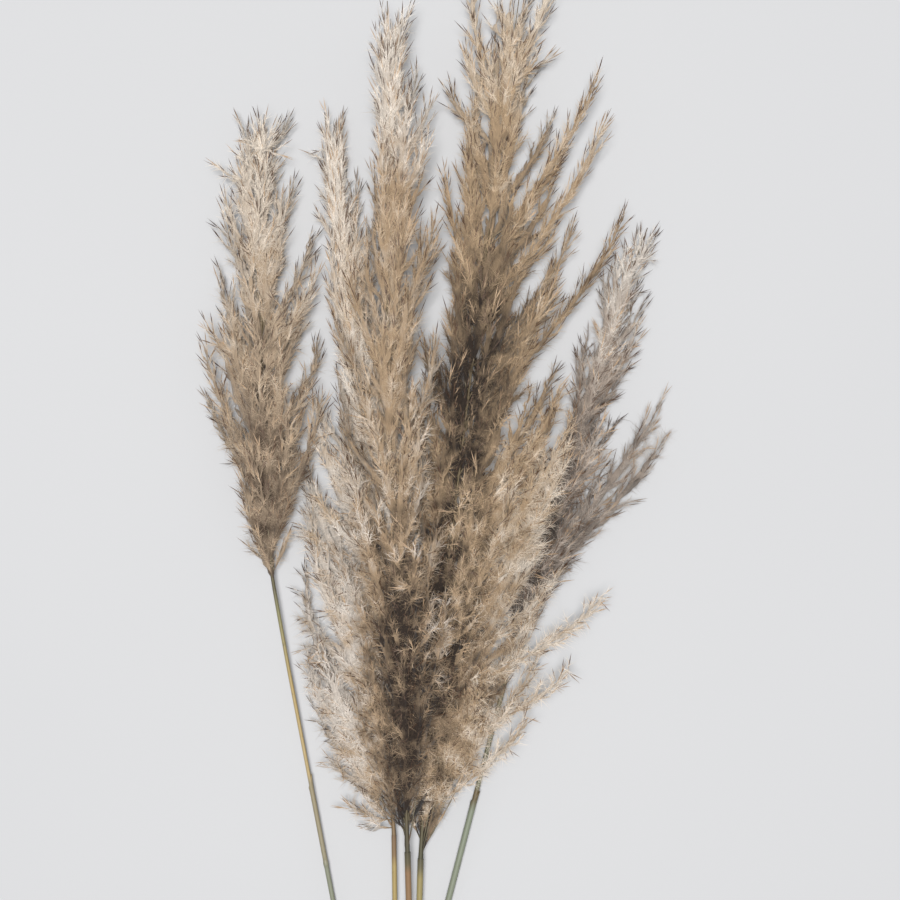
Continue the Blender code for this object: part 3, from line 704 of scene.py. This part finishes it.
def turned(axes, rolls):
    """Turning matrices that bring +Z to each axis."""
    helper = np.where(np.abs(axes[:, 2:3]) < SHORT_OF_UP, (0, 0, 1), (1, 0, 0))
    side = unit(np.cross(helper, axes))
    up = np.cross(axes, side)
    c, s = np.cos(rolls)[:, None], np.sin(rolls)[:, None]
    return np.stack([side * c + up * s, up * c - side * s, axes], axis=2)


def lift(points):
    """What would sink below the surface lies flat on it."""
    low = points[:, 2] < FLOOR_SOFTNESS
    points[low, 2] = FLOOR_SOFTNESS * np.exp((points[low, 2] - FLOOR_SOFTNESS) / FLOOR_SOFTNESS)
    return points


def placed_copies(shape, turns, sizes, roots):
    return np.einsum("mij,mnj->mni", turns, shape[None] * sizes[:, None, :]) + roots[:, None, :]


def repeated(faces, count, each, start=0):
    """The triangles of some copies of a shape, whose corners follow each other."""
    return (faces[None] + (start + each * np.arange(count))[:, None, None]).reshape(-1, 3)


def twig_copies(grown):
    runs = grown["tips"] - grown["feet"]
    lengths = np.linalg.norm(runs, axis=1)
    sizes = np.stack([np.full(len(runs), TWIG_WIDTH)] * 2 + [lengths], axis=1)
    turns = turned(unit(runs), np.zeros(len(runs)))
    return placed_copies(TWIG[0], turns, sizes, grown["feet"])


# %% Tufts of down along the twigs
TUFT_WIDTHS = (1.2, 2.6)
TUFT_SHARE = 0.2
TUFT_BEYOND = 3.5
OF_TUFT = 0.15


def tuft_copies(reed, line, grown):
    """The soft inside of every twig's brush: a spindle from its foot to beyond its tip."""
    runs = grown["tips"] - grown["feet"]
    lengths = np.linalg.norm(runs, axis=1)
    widths = np.clip(TUFT_WIDTHS[0] + TUFT_SHARE * (lengths - SHORTEST_TWIG), *TUFT_WIDTHS)
    sizes = np.stack([widths, widths, lengths + TUFT_BEYOND], axis=1)
    placed = placed_copies(TUFT[0], turned(unit(runs), grown["twig_ages"]), sizes, grown["feet"])
    count, each = placed.shape[:2]
    corners = lift(placed.reshape(-1, 3))
    ages = np.repeat(grown["twig_ages"], each)
    attributes = dict(by_place(reed, line, corners), age=ages, tip=np.zeros(len(corners)))
    return corners, repeated(TUFT[1], count, each), attributes, outward_of(reed, line, corners)


def by_place(reed, line, corners):
    """The attributes that depend only on the place in the plume."""
    return dict(
        out=how_far_out(reed, line, corners), heart=heart_and_shade_of(reed, line, corners),
        tone=by_pairs(corners, reed["tone"]), fluff=by_pairs(corners, reed["fluff"]))


def outward_of(reed, line, corners):
    """The way out of the plume's mass, with a lean to above."""
    offsets, width, height = place_in(reed, line, corners)
    outward = way_out(offsets, width, height)
    outward[:, 2] = np.maximum(outward[:, 2], LEAST_UPWARD)
    return OF_PLUME * outward + (0, 0, OF_ABOVE)


# %% Scales and hair as one mesh a plume
def copies(reed, line, grown, part):
    """Corners, triangles and attributes of every spikelet's stalk and scales, or its hair."""
    corners, triangles, ages, tips, rounds, start = [], [], [], [], [], 0

    def add(placed, faces, age, heights, roots, axes):
        nonlocal start
        count, each = placed.shape[:2]
        corners.append(placed.reshape(-1, 3))
        span = placed - roots[:, None]
        beside = span - (span * axes[:, None]).sum(axis=-1, keepdims=True) * axes[:, None]
        rounds.append(unit(beside).reshape(-1, 3))
        triangles.append(repeated(faces, count, each, start))
        ages.append(np.repeat(age, each))
        tips.append(np.tile(heights, count))
        start += count * each

    for kind, spikelet in enumerate(SPIKELETS):
        mine = grown["kinds"] == kind
        shape, faces, heights = spikelet[part]
        keys = ("roots", "axes", "rolls", "sizes", "ages")
        roots, axes, rolls, sizes, age = (grown[key][mine] for key in keys)
        sizes = np.repeat(sizes[:, None], 3, axis=1)
        placed = placed_copies(shape, turned(axes, rolls), sizes, roots)
        add(placed, faces, age, heights, roots, axes)
    if part == 0:
        feet, runs = grown["feet"], grown["tips"] - grown["feet"]
        add(twig_copies(grown), TWIG[1], np.zeros(len(feet)), TWIG[2] * 0, feet, unit(runs))
    corners = lift(np.concatenate(corners))
    attributes = dict(by_place(reed, line, corners),
                      age=np.concatenate(ages), tip=np.concatenate(tips))
    mass = outward_of(reed, line, corners) + OF_SPIKELET * np.concatenate(rounds)
    return corners, np.concatenate(triangles), attributes, mass


def piece_from_arrays(name, corners, triangles, attributes, mass, own_share=OF_HAIR):
    """One mesh, with its shading normals and its attributes."""
    mesh = bpy.data.meshes.new(name)
    mesh.vertices.add(len(corners))
    mesh.vertices.foreach_set("co", (corners * MM).astype(np.float32).ravel())
    mesh.loops.add(triangles.size)
    mesh.loops.foreach_set("vertex_index", triangles.astype(np.int32).ravel())
    mesh.polygons.add(len(triangles))
    mesh.polygons.foreach_set("loop_start", np.arange(0, triangles.size, 3, dtype=np.int32))
    mesh.update(calc_edges=True)
    mesh.shade_smooth()
    piece = bpy.data.objects.new(name, mesh)
    bpy.context.collection.objects.link(piece)
    dress(mesh, attributes, own_share, mass)
    return piece


def dress(mesh, attributes, own_share, mass):
    """Shading normals that lean to the whole mass, and the attributes for the finish."""
    own = threes_of(mesh.vertex_normals, "vector", np.float32)
    mesh.normals_split_custom_set_from_vertices(unit(own * own_share + mass))
    for label, values in attributes.items():
        layer = mesh.attributes.new(label, "FLOAT", "POINT")
        layer.data.foreach_set("value", values.astype(np.float32))


# %% Branches as one curve
RACHIS_WIDTH = 0.9
RACHIS_TIP = 0.2
BRANCH_WIDTH = (0.35, 0.1)
OVERLAP = 3.0
RACHIS_TAPER = 0.08
RACHIS_FIT = 0.96
RACHIS_STEP = 8
RACHIS_REACH = (0.9, 3.9)
MERGE = 0.00001


def add_tubes(name, runs, resolution=0, caps=True):
    """Tubes along lines of points, each with its radii, as splines of one curve made a mesh."""
    data = bpy.data.curves.new(name, "CURVE")
    data.dimensions = "3D"
    data.bevel_depth = MM
    data.bevel_resolution = resolution
    data.use_fill_caps = caps
    for points, radii in runs:
        spline = data.splines.new("POLY")
        spline.points.add(len(points) - 1)
        for target, point, radius in zip(spline.points, points, radii):
            target.co = (*(np.array(point) * MM), 1)
            target.radius = radius
    tubes = bpy.data.objects.new(name, data)
    bpy.context.collection.objects.link(tubes)
    select_only(tubes)
    bpy.ops.object.convert(target="MESH")
    bpy.ops.object.mode_set(mode="EDIT")
    bpy.ops.mesh.select_all(action="SELECT")
    bpy.ops.mesh.remove_doubles(threshold=MERGE)
    bpy.ops.mesh.quads_convert_to_tris()
    bpy.ops.mesh.normals_make_consistent(inside=False)
    bpy.ops.object.mode_set(mode="OBJECT")
    tubes.data.shade_smooth()
    return tubes


def add_branches(name, reed, line, paths):
    """The rachis, which starts inside the straw's end, and the side branches."""
    along = unit(line[1] - line[0])
    middle = np.vstack([line[0] - along * OVERLAP, line[::RACHIS_STEP]])
    shares = np.linspace(0, 1, len(middle))
    widths = (reed["radius"] * RACHIS_FIT, RACHIS_WIDTH, RACHIS_TIP)
    radii = np.interp(shares, (0, RACHIS_TAPER, 1), widths)
    runs = [(middle, radii)] + [(path, np.linspace(*BRANCH_WIDTH, len(path))) for path in paths]
    wood = add_tubes(name, runs)
    corners = threes_of(wood.data.vertices, "co") / MM
    offsets = corners - middle_at(line, corners)[1]
    aside = np.interp(np.hypot(offsets[:, 0], offsets[:, 2]), RACHIS_REACH, (0, 1))
    wood.data.attributes.new("aside", "FLOAT", "POINT").data.foreach_set("value", aside)
    return wood


# %% [markdown]
# ## Felted down
# Close to its branch a plume's hair felts into down in which no single hair shows. More
# needles would fill it at a great cost. A lumpy spindle along each side branch, and a slim
# tuft along each twig, stay thinner than the hair reaches and close the gaps behind it.

# %% The soft body of felted down inside each side branch's brush
FULLNESS = 0.4
DOWN = 2.2
BODY_STEPS = 14
BODY_START = 0.3
BARE_NECK = 0.1
BODY_INSIDE = (0.3, 0.8)
OUTER_BODY = 0.55
BODY_END = 0.8
BODY_TIP = 0.15
BARE_BODY = 0.03
DEEPEST_DENT = -0.8
LUMP = 1.6
LUMP_SIZE = 5.0
OF_BODY = 0.6


def add_bodies(name, reed, line, paths):
    """One lumpy spindle of felted down along each side branch."""
    runs = []
    s = np.linspace(0, 1, BODY_STEPS)
    for k, path in enumerate(paths):
        longest = LOOSE_TWIG if is_loose(reed, k) else reed["twig"]
        length = length_of(path)
        twigs = np.clip(TWIG_SHARE * length * (1 - s), SHORTEST_TWIG, longest)
        radii = FULLNESS * (twigs * math.sin(math.radians(sum(TWIG_LEAN) / 2)) + DOWN)
        bare = bare_share(reed, paths, k)
        radii *= np.interp(s, (bare, bare + BODY_START), (BARE_BODY, 1))
        points, _ = read_line(path, s)
        radii *= np.interp(middle_at(line, points)[0], (0, BARE_NECK), (0, 1))
        radii *= np.interp(how_far_out(reed, line, points), BODY_INSIDE, (1, OUTER_BODY))
        ending = np.clip((s - BODY_END) / (1 - BODY_END), 0, 1)
        radii = np.maximum(radii * np.sqrt(1 - ending ** 2), BODY_TIP)
        runs.append((points, radii))
    body = add_tubes("down_" + name, runs)
    mesh = body.data
    corners = threes_of(mesh.vertices, "co") / MM
    lumps = np.array([noise.noise(Vector(corner) / LUMP_SIZE) for corner in corners])
    normals = threes_of(mesh.vertex_normals, "vector")
    corners = lift(corners + normals * np.maximum(LUMP * lumps, DEEPEST_DENT)[:, None])
    mesh.vertices.foreach_set("co", (corners * MM).astype(np.float32).ravel())
    mesh.update()
    flat = np.zeros(len(corners))
    attributes = dict(by_place(reed, line, corners), age=flat, tip=flat)
    dress(mesh, attributes, OF_BODY, outward_of(reed, line, corners))
    return body


# %% Grow all five plumes
def lower_and_upper(grown):
    """Two halves of a plume's spikelets, so that no piece is too heavy to open."""
    middle = np.median(grown["roots"][:, 1])
    lower = grown["roots"][:, 1] < middle
    keys = ("roots", "axes", "sizes", "kinds", "rolls", "ages")
    return [{**grown, **{key: grown[key][mine] for key in keys}} for mine in (lower, ~lower)]


PLUMES = {}
total = 0
for name, reed in REEDS.items():
    line, paths, grown = grow(name, reed)
    hard = [piece_from_arrays("scales_" + name, *copies(reed, line, grown, 0))]
    hair = []
    for place, half in zip(("lower", "upper"), lower_and_upper(grown)):
        hair.append(piece_from_arrays("hair_" + name + "_" + place, *copies(reed, line, half, 1)))
    wood = [add_branches("branches_" + name, reed, line, paths)]
    tufts = piece_from_arrays("tufts_" + name, *tuft_copies(reed, line, grown), own_share=OF_TUFT)
    down = [add_bodies(name, reed, line, paths), tufts]
    PLUMES[name] = (hard, hair, wood, down)
    counts = [len(piece.data.polygons) for piece in hard + hair + wood + down]
    total += sum(counts)
    found = [len(paths), "branches,", len(grown["roots"]), "spikelets, triangles", counts]
    print(name, *found, flush=True)
print("plumes have", total, "triangles in all")

# %% [markdown]
# ## The straws
# A reed's straw is a smooth hollow tube with a ring-shaped knot, thicker where a leaf sheath
# still hugs it. The sheath's mouth is cut aslant by growth and flares a little. A cylinder
# bent by a lattice would do, but a curve takes the thickness at every point directly.

# %% Straw, bore and sheath
STRAW_STEP = 4.0
STRAW_RESOLUTION = 3
SWELL = 1.3
KNOT_BULGE = 1.18
KNOT_HALF = 1.4
BORE_DEPTH = 22.0
BORE_SHARE = 0.62
SHEATH_WALL = 0.18
MOUTH_SLANT = 2.6
MOUTH_LENGTH = 9.0
MOUTH_FLARE = 0.25
BORE_SIDES = 16
SHARP_ANGLE = 40


def apply_modifier(piece, kind, **settings):
    select_only(piece)
    bpy.ops.object.modifier_add(type=kind)
    step = piece.modifiers[-1]
    for key, value in settings.items():
        setattr(step, key, value)
    bpy.ops.object.modifier_apply(modifier=step.name)


def straw_radii(reed, places):
    """Thick below the knot, where an older sheath wraps it, and thin inside the upper sheath."""
    below = reed["radius"] * (SWELL if reed["knot"] else 1.0)
    radii = np.where(places < reed["knot"], below, reed["radius"])
    near = np.abs(places - reed["knot"]) / KNOT_HALF
    bulge = below * (1 + (KNOT_BULGE - 1) * np.exp(-near ** 2))
    return np.where((near < 2) & (reed["knot"] > 0), np.maximum(radii, bulge), radii)


def add_straw(name, reed):
    line = smooth_line(reed["stem"])
    length = length_of(line)
    near_knot = reed["knot"] + KNOT_HALF * np.linspace(-2, 2, 13) if reed["knot"] else []
    even = np.linspace(0, length, int(length / STRAW_STEP))
    places = np.unique(np.concatenate([even, near_knot]))
    points, _ = read_line(line, places / length)
    straw = add_tubes("straw_" + name, [(points, straw_radii(reed, places))], STRAW_RESOLUTION)

    along = Vector(unit(points[1] - points[0]))
    deselect()
    bpy.ops.mesh.primitive_cylinder_add(
        vertices=BORE_SIDES, radius=reed["radius"] * BORE_SHARE * MM, depth=2 * BORE_DEPTH * MM,
        location=Vector(points[0]) * MM, rotation=along.to_track_quat("Z", "Y").to_euler())
    bore = bpy.context.object
    apply_modifier(straw, "BOOLEAN", object=bore, operation="DIFFERENCE", solver="EXACT")
    bpy.data.objects.remove(bore, do_unlink=True)
    select_only(straw)
    bpy.ops.object.shade_smooth_by_angle(angle=math.radians(SHARP_ANGLE))
    return straw, line, length


def add_sheath(name, reed, line, length):
    """An open tube round the straw from its knot, with a slanted mouth, then given a wall."""
    places = np.concatenate([np.linspace(reed["knot"], reed["sheath"] - MOUTH_LENGTH, 9),
                             reed["sheath"] - MOUTH_LENGTH * np.linspace(0.8, 0, 7)])
    points, _ = read_line(line, places / length)
    flare = np.clip((places - reed["sheath"] + MOUTH_LENGTH) / MOUTH_LENGTH, 0, 1) ** 3
    radii = reed["radius"] * SWELL - SHEATH_WALL + MOUTH_FLARE * flare
    sheath = add_tubes("sheath_" + name, [(points, radii)], STRAW_RESOLUTION, caps=False)
    mouth, forward = points[-1], unit(points[-1] - points[-2])
    side = unit(np.cross(forward, (0, 0, 1)))
    for corner in sheath.data.vertices:
        place = np.array(corner.co) / MM
        before = (mouth - place) @ forward
        share = max(1 - before / MOUTH_LENGTH, 0.0)
        slant = share * MOUTH_SLANT * ((place - mouth) @ side) / reed["radius"]
        corner.co += Vector(forward * slant) * MM
    apply_modifier(sheath, "SOLIDIFY", thickness=SHEATH_WALL * MM, offset=1.0)
    return sheath


STRAWS = {}
for name, reed in REEDS.items():
    straw, line, length = add_straw(name, reed)
    STRAWS[name] = [straw]
    if reed["knot"]:
        STRAWS[name].append(add_sheath(name, reed, line, length))
    for piece in STRAWS[name]:
        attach(piece, "root")
        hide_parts("stem_" + name)
        "stem_" + name
    print(name, "straw", [len(piece.data.polygons) for piece in STRAWS[name]], "faces")

# %% [markdown]
# ## Shader maths
# A material is easier to read as a sum than as a web of boxes. A small class wraps a socket,
# and an expression on such values adds the Math nodes that it needs.

# %% One class for values, one method for every other node
class Value:
    def __init__(self, tree, socket):
        self.tree = tree
        self.socket = socket

    def math(self, operation, *inputs):
        return node(self.tree, "ShaderNodeMath", {"operation": operation}, dict(enumerate(inputs)))

    def __add__(self, other):
        return self.math("ADD", self, other)

    __radd__ = __add__

    def __mul__(self, other):
        return self.math("MULTIPLY", self, other)

    __rmul__ = __mul__

    def __sub__(self, other):
        return self.math("SUBTRACT", self, other)

    def __rsub__(self, other):
        return self.math("SUBTRACT", other, self)

    def clamped(self):
        return node(self.tree, "ShaderNodeClamp", {}, {"Value": self})


def node(tree, kind, settings, inputs, output=0):
    made = tree.nodes.new(kind)
    for key, value in settings.items():
        if key == "stops":
            for _ in value[2:]:
                made.color_ramp.elements.new(0.5)
            for element, (place, colour) in zip(made.color_ramp.elements, value):
                element.position = place
                element.color = (*colour, 1)
        else:
            setattr(made, key, value)
    for key, value in inputs.items():
        socket = made.inputs[key]
        if isinstance(value, Value):
            tree.links.new(value.socket, socket)
        else:
            socket.default_value = value
    return Value(tree, made.outputs[output])


def new_material(name, roughness, sheen=0.0):
    material = bpy.data.materials.new(name)
    material.use_nodes = True
    shader = material.node_tree.nodes["Principled BSDF"]
    shader.inputs["Roughness"].default_value = roughness
    shader.inputs["Sheen Weight"].default_value = sheen
    shader.inputs["Specular IOR Level"].default_value = 0.3
    return material, material.node_tree, shader


def feed(shader, name, value):
    value.tree.links.new(value.socket, shader.inputs[name])


def attribute(tree, name):
    return node(tree, "ShaderNodeAttribute", {"attribute_name": name}, {}, output=2)


def mixed(tree, share, first, second, blend="MIX"):
    settings = {"data_type": "RGBA", "blend_type": blend}
    return node(tree, "ShaderNodeMix", settings, {0: share, 6: first, 7: second}, output=2)


def shaded(tree, share, tint, shade):
    """A tint of which some share is multiplied by a shade."""
    return mixed(tree, share, tint, mixed(tree, 1.0, tint, (*shade, 1), "MULTIPLY"))


def object_place(tree):
    return node(tree, "ShaderNodeTexCoord", {}, {}, output=3)


def noise_at(tree, where, scale, detail):
    inputs = {"Vector": where, "Scale": scale, "Detail": detail}
    return node(tree, "ShaderNodeTexNoise", {}, inputs)


def object_noise(tree, scale):
    return noise_at(tree, object_place(tree), scale, 2.0)


def stretched_noise(tree, scales):
    """Noise drawn out along the bunch, for fibres and felt."""
    inputs = {"Vector": object_place(tree), "Scale": scales}
    return noise_at(tree, node(tree, "ShaderNodeMapping", {}, inputs), 1.0, 3.0)


def add_bump(tree, shader, height, strength, distance):
    sizes = {"Height": height, "Strength": strength, "Distance": distance}
    feed(shader, "Normal", node(tree, "ShaderNodeBump", {}, sizes))


print("values, noises and bumps are ready")


# %% [markdown]
# ## Finishes
# Dry reed hair is matt, pale towards its tips, and greyer where it hangs loose. It is darker
# in the plume's heart, partly as brown hair and partly as painted shade, and the depth in the
# plume adds painted shade deep in the loose fluff and painted light deep in the upper hair. A
# sum of the attributes says how light a place is, and a ramp of three hair colours turns that
# into a tint. The felted down takes the same ramp, darker, as painted shade of the plume's
# inside and because a closed surface returns more light than hair. A straw has its colours by
# place, with fine fibres from a noise drawn out along it. Painted pictures would also do, but
# this needs none and shows no seam from any side.

# %% How light a place in a plume is
TIP_PALER = 0.1
# painted light: hair deep in the plume is paler than the outer hair, to lift the shade in its gaps
PAINTED_LIGHT_INSIDE = 0.1
# painted shade: deep loose fluff is darker and its outer hair paler, as if shaded by the hair above
FLUFF_SHADE_OUT, FLUFF_SHADE_IN = 0.35, 0.2
AGE, AGE_IN_FLUFF = 0.1, 0.16
# the heart's darkness is partly brown hair and partly painted shade, deepest inside the plume
HEART_AND_SHADE, HEART_AND_SHADE_OUT = 0.83, 0.46
WIDE_PATCHES, WIDE_PATCH_SCALE = 0.4, 28
PATCHES, PATCHES_IN_FLUFF, PATCHES_IN_HEART_AND_SHADE, PATCH_SCALE = 0.3, 0.8, 0.5, 100
LOOSE_GREY = (0.88, 0.885, 0.91)
LOOSE_GREY_SHARE = 0.7


def colour(red, green, blue):
    """An sRGB colour from 0 to 255, as Blender's linear one."""
    shares = (value / 255 for value in (red, green, blue))
    return tuple(v / 12.92 if v <= 0.04045 else ((v + 0.055) / 1.055) ** 2.4 for v in shares) + (1,)


def attributes_of(tree, *names):
    return (attribute(tree, name) for name in names)


def lightness(tree):
    """Paler upwards and towards each hair's tip, with soft patches, darker in the heart as brown
    hair and painted shade, with painted shade deep in the loose fluff and painted light deep in the
    upper hair.
    """
    tone, tip, out, fluff = attributes_of(tree, "tone", "tip", "out", "fluff")
    age, heart = attributes_of(tree, "age", "heart")
    light = tone + tip * TIP_PALER - out * PAINTED_LIGHT_INSIDE + fluff * (out * FLUFF_SHADE_OUT - FLUFF_SHADE_IN)
    light = light + age * (fluff * AGE_IN_FLUFF + AGE) - heart * (HEART_AND_SHADE - out * HEART_AND_SHADE_OUT)
    light = light + (object_noise(tree, WIDE_PATCH_SCALE) - 0.5) * WIDE_PATCHES
    patches = fluff * PATCHES_IN_FLUFF + heart * PATCHES_IN_HEART_AND_SHADE + PATCHES
    return (light + (object_noise(tree, PATCH_SCALE) - 0.5) * patches).clamped()


def greyed(tree, tint):
    """The loose fluff low in the plume is greyer."""
    fluff = attribute(tree, "fluff")
    return shaded(tree, fluff * fluff * LOOSE_GREY_SHARE, tint, LOOSE_GREY)


# %% Finishes of the plumes
HAIR_STOPS = (0, 0.55, 1)
# painted shade: the down is darker than the hair, for the shaded inside of the plume and because
# one closed surface returns more light than hair
DOWN_SHADE = (0.7, 0.69, 0.68)
FELT_SCALES = (1500, 260, 1500)
STREAK_CONTRAST, STREAK_FROM, STREAK_SHARE = 3, 1, 0.5
STREAK_SHADE = (0.5, 0.47, 0.44)
# scales are darker in the heart, partly brown and partly painted shade
RIPE_SHARES = (("age", 1.1), ("tip", 0.1), ("heart", -0.3), ("tone", 0.12))
RIPE_FROM = 0.04


def hair_ramp(tree, tints, shade=(1, 1, 1)):
    """Three hair colours, dark to pale, by how light the place is."""
    stops = [(place, tuple(v * dim for v, dim in zip(colour(*tint), shade)))
             for place, tint in zip(HAIR_STOPS, tints)]
    return node(tree, "ShaderNodeValToRGB", {"stops": stops}, {"Fac": lightness(tree)})


def hair_finish(name, *tints):
    material, tree, shader = new_material("silky_hair_" + name, roughness=0.8, sheen=0.2)
    feed(shader, "Base Color", greyed(tree, hair_ramp(tree, tints)))
    return material


def down_finish(name, *tints):
    """As the hair, but darker, as painted shade of the plume's inside and since it is one closed
    surface, with a fine felted grain.
    """
    material, tree, shader = new_material("felted_down_" + name, roughness=0.9, sheen=0.2)
    grain = stretched_noise(tree, FELT_SCALES)
    streaks = (grain * STREAK_CONTRAST - STREAK_FROM).clamped() * STREAK_SHARE
    tint = shaded(tree, streaks, hair_ramp(tree, tints, DOWN_SHADE), STREAK_SHADE)
    feed(shader, "Base Color", greyed(tree, tint))
    add_bump(tree, shader, grain, strength=0.7, distance=0.001)
    return material


def scale_finish(name, dark, straw):
    material, tree, shader = new_material("brown_scales_" + name, roughness=0.55)
    ripe = sum(attribute(tree, name) * share for name, share in RIPE_SHARES) - RIPE_FROM
    feed(shader, "Base Color", mixed(tree, ripe.clamped(), colour(*dark), colour(*straw)))
    return material


# %% Finishes of the straws, the rachis and the side branches
SEEN = 0.66
FIBRE_SCALES = (2500, 60, 2500)
FIBRE_SHARE = 0.5
FIBRE_SHADE = (0.55, 0.5, 0.42)
SPECK_SCALE, SPECK_CONTRAST, SPECK_FROM, SPECK_SHARE = 420, 6, 3.9, 0.6
SPECK_BROWN = (0.1, 0.07, 0.045, 1)
GREEN_NECK = 45.0
NECK_FADE = 0.15
BRANCH_GRAIN = 90


def along_bunch(tree):
    """The place along the bunch, in millimetres."""
    return node(tree, "ShaderNodeSeparateXYZ", {}, {"Vector": object_place(tree)}, output=1) * 1000


def seen(red, green, blue):
    """The colour of something that is seen as this one under the lamp and the sky."""
    return tuple(v * SEEN for v in colour(red, green, blue)[:3])


def straw_finish(name, stops):
    """Colours by place along the straw, in millimetres, with fine lengthwise fibres."""
    material, tree, shader = new_material("straw_" + name, roughness=0.45)
    low, high = stops[0][0], stops[-1][0]
    share = (along_bunch(tree) + (-low)) * (1 / (high - low))
    ramp_stops = [((place - low) / (high - low), seen(*tint)) for place, tint in stops]
    ramp = node(tree, "ShaderNodeValToRGB", {"stops": ramp_stops}, {"Fac": share.clamped()})
    fibres = stretched_noise(tree, FIBRE_SCALES)
    specks = (object_noise(tree, SPECK_SCALE) * SPECK_CONTRAST - SPECK_FROM).clamped()
    tint = shaded(tree, fibres * FIBRE_SHARE, ramp, FIBRE_SHADE)
    feed(shader, "Base Color", mixed(tree, specks * SPECK_SHARE, tint, SPECK_BROWN))
    add_bump(tree, shader, fibres, strength=0.25, distance=0.0001)
    return material


def branch_finish(name, line):
    """The neck and the feet of its branches are darker than the rachis and branches above."""
    material, tree, shader = new_material("branch_" + name, roughness=0.6)
    above = (along_bunch(tree) * (1 / GREEN_NECK) + (-float(line[0][1]) / GREEN_NECK)).clamped()
    tints = (NECK_TINTS[name], RACHIS_TAN, *BRANCH_TINTS)
    neck, tan, dark, pale = ((*seen(*tint), 1) for tint in tints)
    branch = mixed(tree, object_noise(tree, BRANCH_GRAIN), dark, pale)
    branch = mixed(tree, (above + NECK_FADE).clamped(), neck, branch)
    rachis = mixed(tree, above, neck, tan)
    feed(shader, "Base Color", mixed(tree, attribute(tree, "aside"), rachis, branch))
    return material


# %% Colours, and every piece's finish and place
NECK_TINTS = {"left": (110, 104, 78), "inner_left": (146, 122, 92), "middle": (88, 84, 66),
              "inner_right": (92, 90, 70), "right": (112, 108, 84)}
RACHIS_TAN = (132, 116, 88)
BRANCH_TINTS = ((128, 112, 88), (196, 184, 158))
SCALE_COLOURS = ((74, 51, 34), (172, 145, 116))
STRAW_COLOURS = {
    "left": ((-300, (150, 154, 130)), (-155, (152, 156, 136)), (-150, (168, 160, 134)),
             (-110, (170, 158, 128)), (-106, (202, 180, 132)), (-60, (196, 172, 118)),
             (-22, (150, 146, 104)), (-8, (116, 110, 84))),
    "inner_left": ((-320, (192, 174, 122)), (-220, (192, 172, 118)), (-153, (188, 166, 110)),
                   (-147, (150, 124, 92)), (-137, (140, 114, 88))),
    "middle": ((-319, (170, 142, 106)), (-200, (164, 134, 98)), (-155, (158, 126, 94)),
               (-150, (112, 104, 80)), (-144, (96, 92, 74))),
    "inner_right": ((-316, (178, 166, 116)), (-200, (182, 168, 116)), (-160, (172, 158, 108)),
                    (-154, (120, 114, 88)), (-149, (104, 100, 80))),
    "right": ((-304, (158, 164, 146)), (-125, (148, 156, 136)), (-119, (120, 108, 82)),
              (-115, (128, 112, 84)), (-112, (138, 138, 114)), (-44, (124, 120, 94))),
}
HAIR_COLOURS = {
    "left": ((78, 63, 50), (190, 169, 144), (222, 210, 195)),
    "inner_left": ((92, 72, 54), (195, 170, 139), (224, 214, 202)),
    "middle": ((52, 40, 31), (182, 157, 127), (225, 215, 203)),
    "inner_right": ((48, 37, 28), (182, 157, 126), (228, 215, 198)),
    "right": ((62, 54, 48), (174, 160, 147), (228, 221, 212)),
}

for name, kinds in PLUMES.items():
    finishes = (scale_finish(name, *SCALE_COLOURS), hair_finish(name, *HAIR_COLOURS[name]),
                branch_finish(name, rachis_of(REEDS[name])),
                down_finish(name, *HAIR_COLOURS[name]))
    for pieces, finish in zip(kinds, finishes):
        for piece in pieces:
            piece.data.materials.append(finish)
            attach(piece, "root")
            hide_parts("plume_" + name)
            "plume_" + name

for name, pieces in STRAWS.items():
    for piece in pieces:
        piece.data.materials.append(straw_finish(name, STRAW_COLOURS[name]))
print(len(bpy.data.materials), "finishes")

# %% [markdown]
# ## Floor, light and camera
# The photograph looks straight at the plumes against a pale wall. Laid down, they are seen
# from straight above. A soft lamp stands close to the camera, so that the gaps between the
# plumes stay bright and hold no hard shadows, and a pale sky fills in. A lamp from the side
# would show more of the hair's relief, but it darkens the gaps.

# %% Stage
bpy.context.scene.view_settings.view_transform = "Standard"
FRAME_WIDTH = 468 * MM
LENS = 85
SENSOR = 36
CENTRE = Vector((6.8, 65.0, 22.0)) * MM
FLOOR_SIZE = 6
FLOOR_PATCHES = 3
FLOOR_TINTS = ((0.44, 0.44, 0.445, 1), (0.46, 0.46, 0.465, 1))
SKY_TINT = (0.95, 0.97, 1.0, 1)
SKY_STRENGTH = 0.35
LAMP_ENERGY = 98
LAMP_SIZE = 0.6
LAMP_PLACE = (-0.08, 0.12, 2.7)

deselect()
bpy.ops.mesh.primitive_plane_add(size=FLOOR_SIZE)
floor = bpy.context.object
floor.name = "floor"
material, tree, shader = new_material("floor", roughness=0.9)
feed(shader, "Base Color", mixed(tree, object_noise(tree, FLOOR_PATCHES), *FLOOR_TINTS))
floor.data.materials.append(material)

world = bpy.context.scene.world or bpy.data.worlds.new("studio")
bpy.context.scene.world = world
world.use_nodes = True
sky = world.node_tree.nodes["Background"]
sky.inputs["Color"].default_value = SKY_TINT
sky.inputs["Strength"].default_value = SKY_STRENGTH

lamp_data = bpy.data.lights.new("soft_lamp", "AREA")
lamp_data.energy = LAMP_ENERGY
lamp_data.size = LAMP_SIZE
lamp = bpy.data.objects.new("soft_lamp", lamp_data)
lamp.location = LAMP_PLACE
lamp.rotation_euler = (CENTRE - lamp.location).to_track_quat("-Z", "Y").to_euler()
bpy.context.collection.objects.link(lamp)

camera_data = bpy.data.cameras.new("camera")
camera_data.lens = LENS
camera_data.sensor_width = SENSOR
camera = bpy.data.objects.new("camera", camera_data)
camera.location = CENTRE + Vector((0, 0, FRAME_WIDTH * LENS / SENSOR))
bpy.context.collection.objects.link(camera)
bpy.context.scene.camera = camera
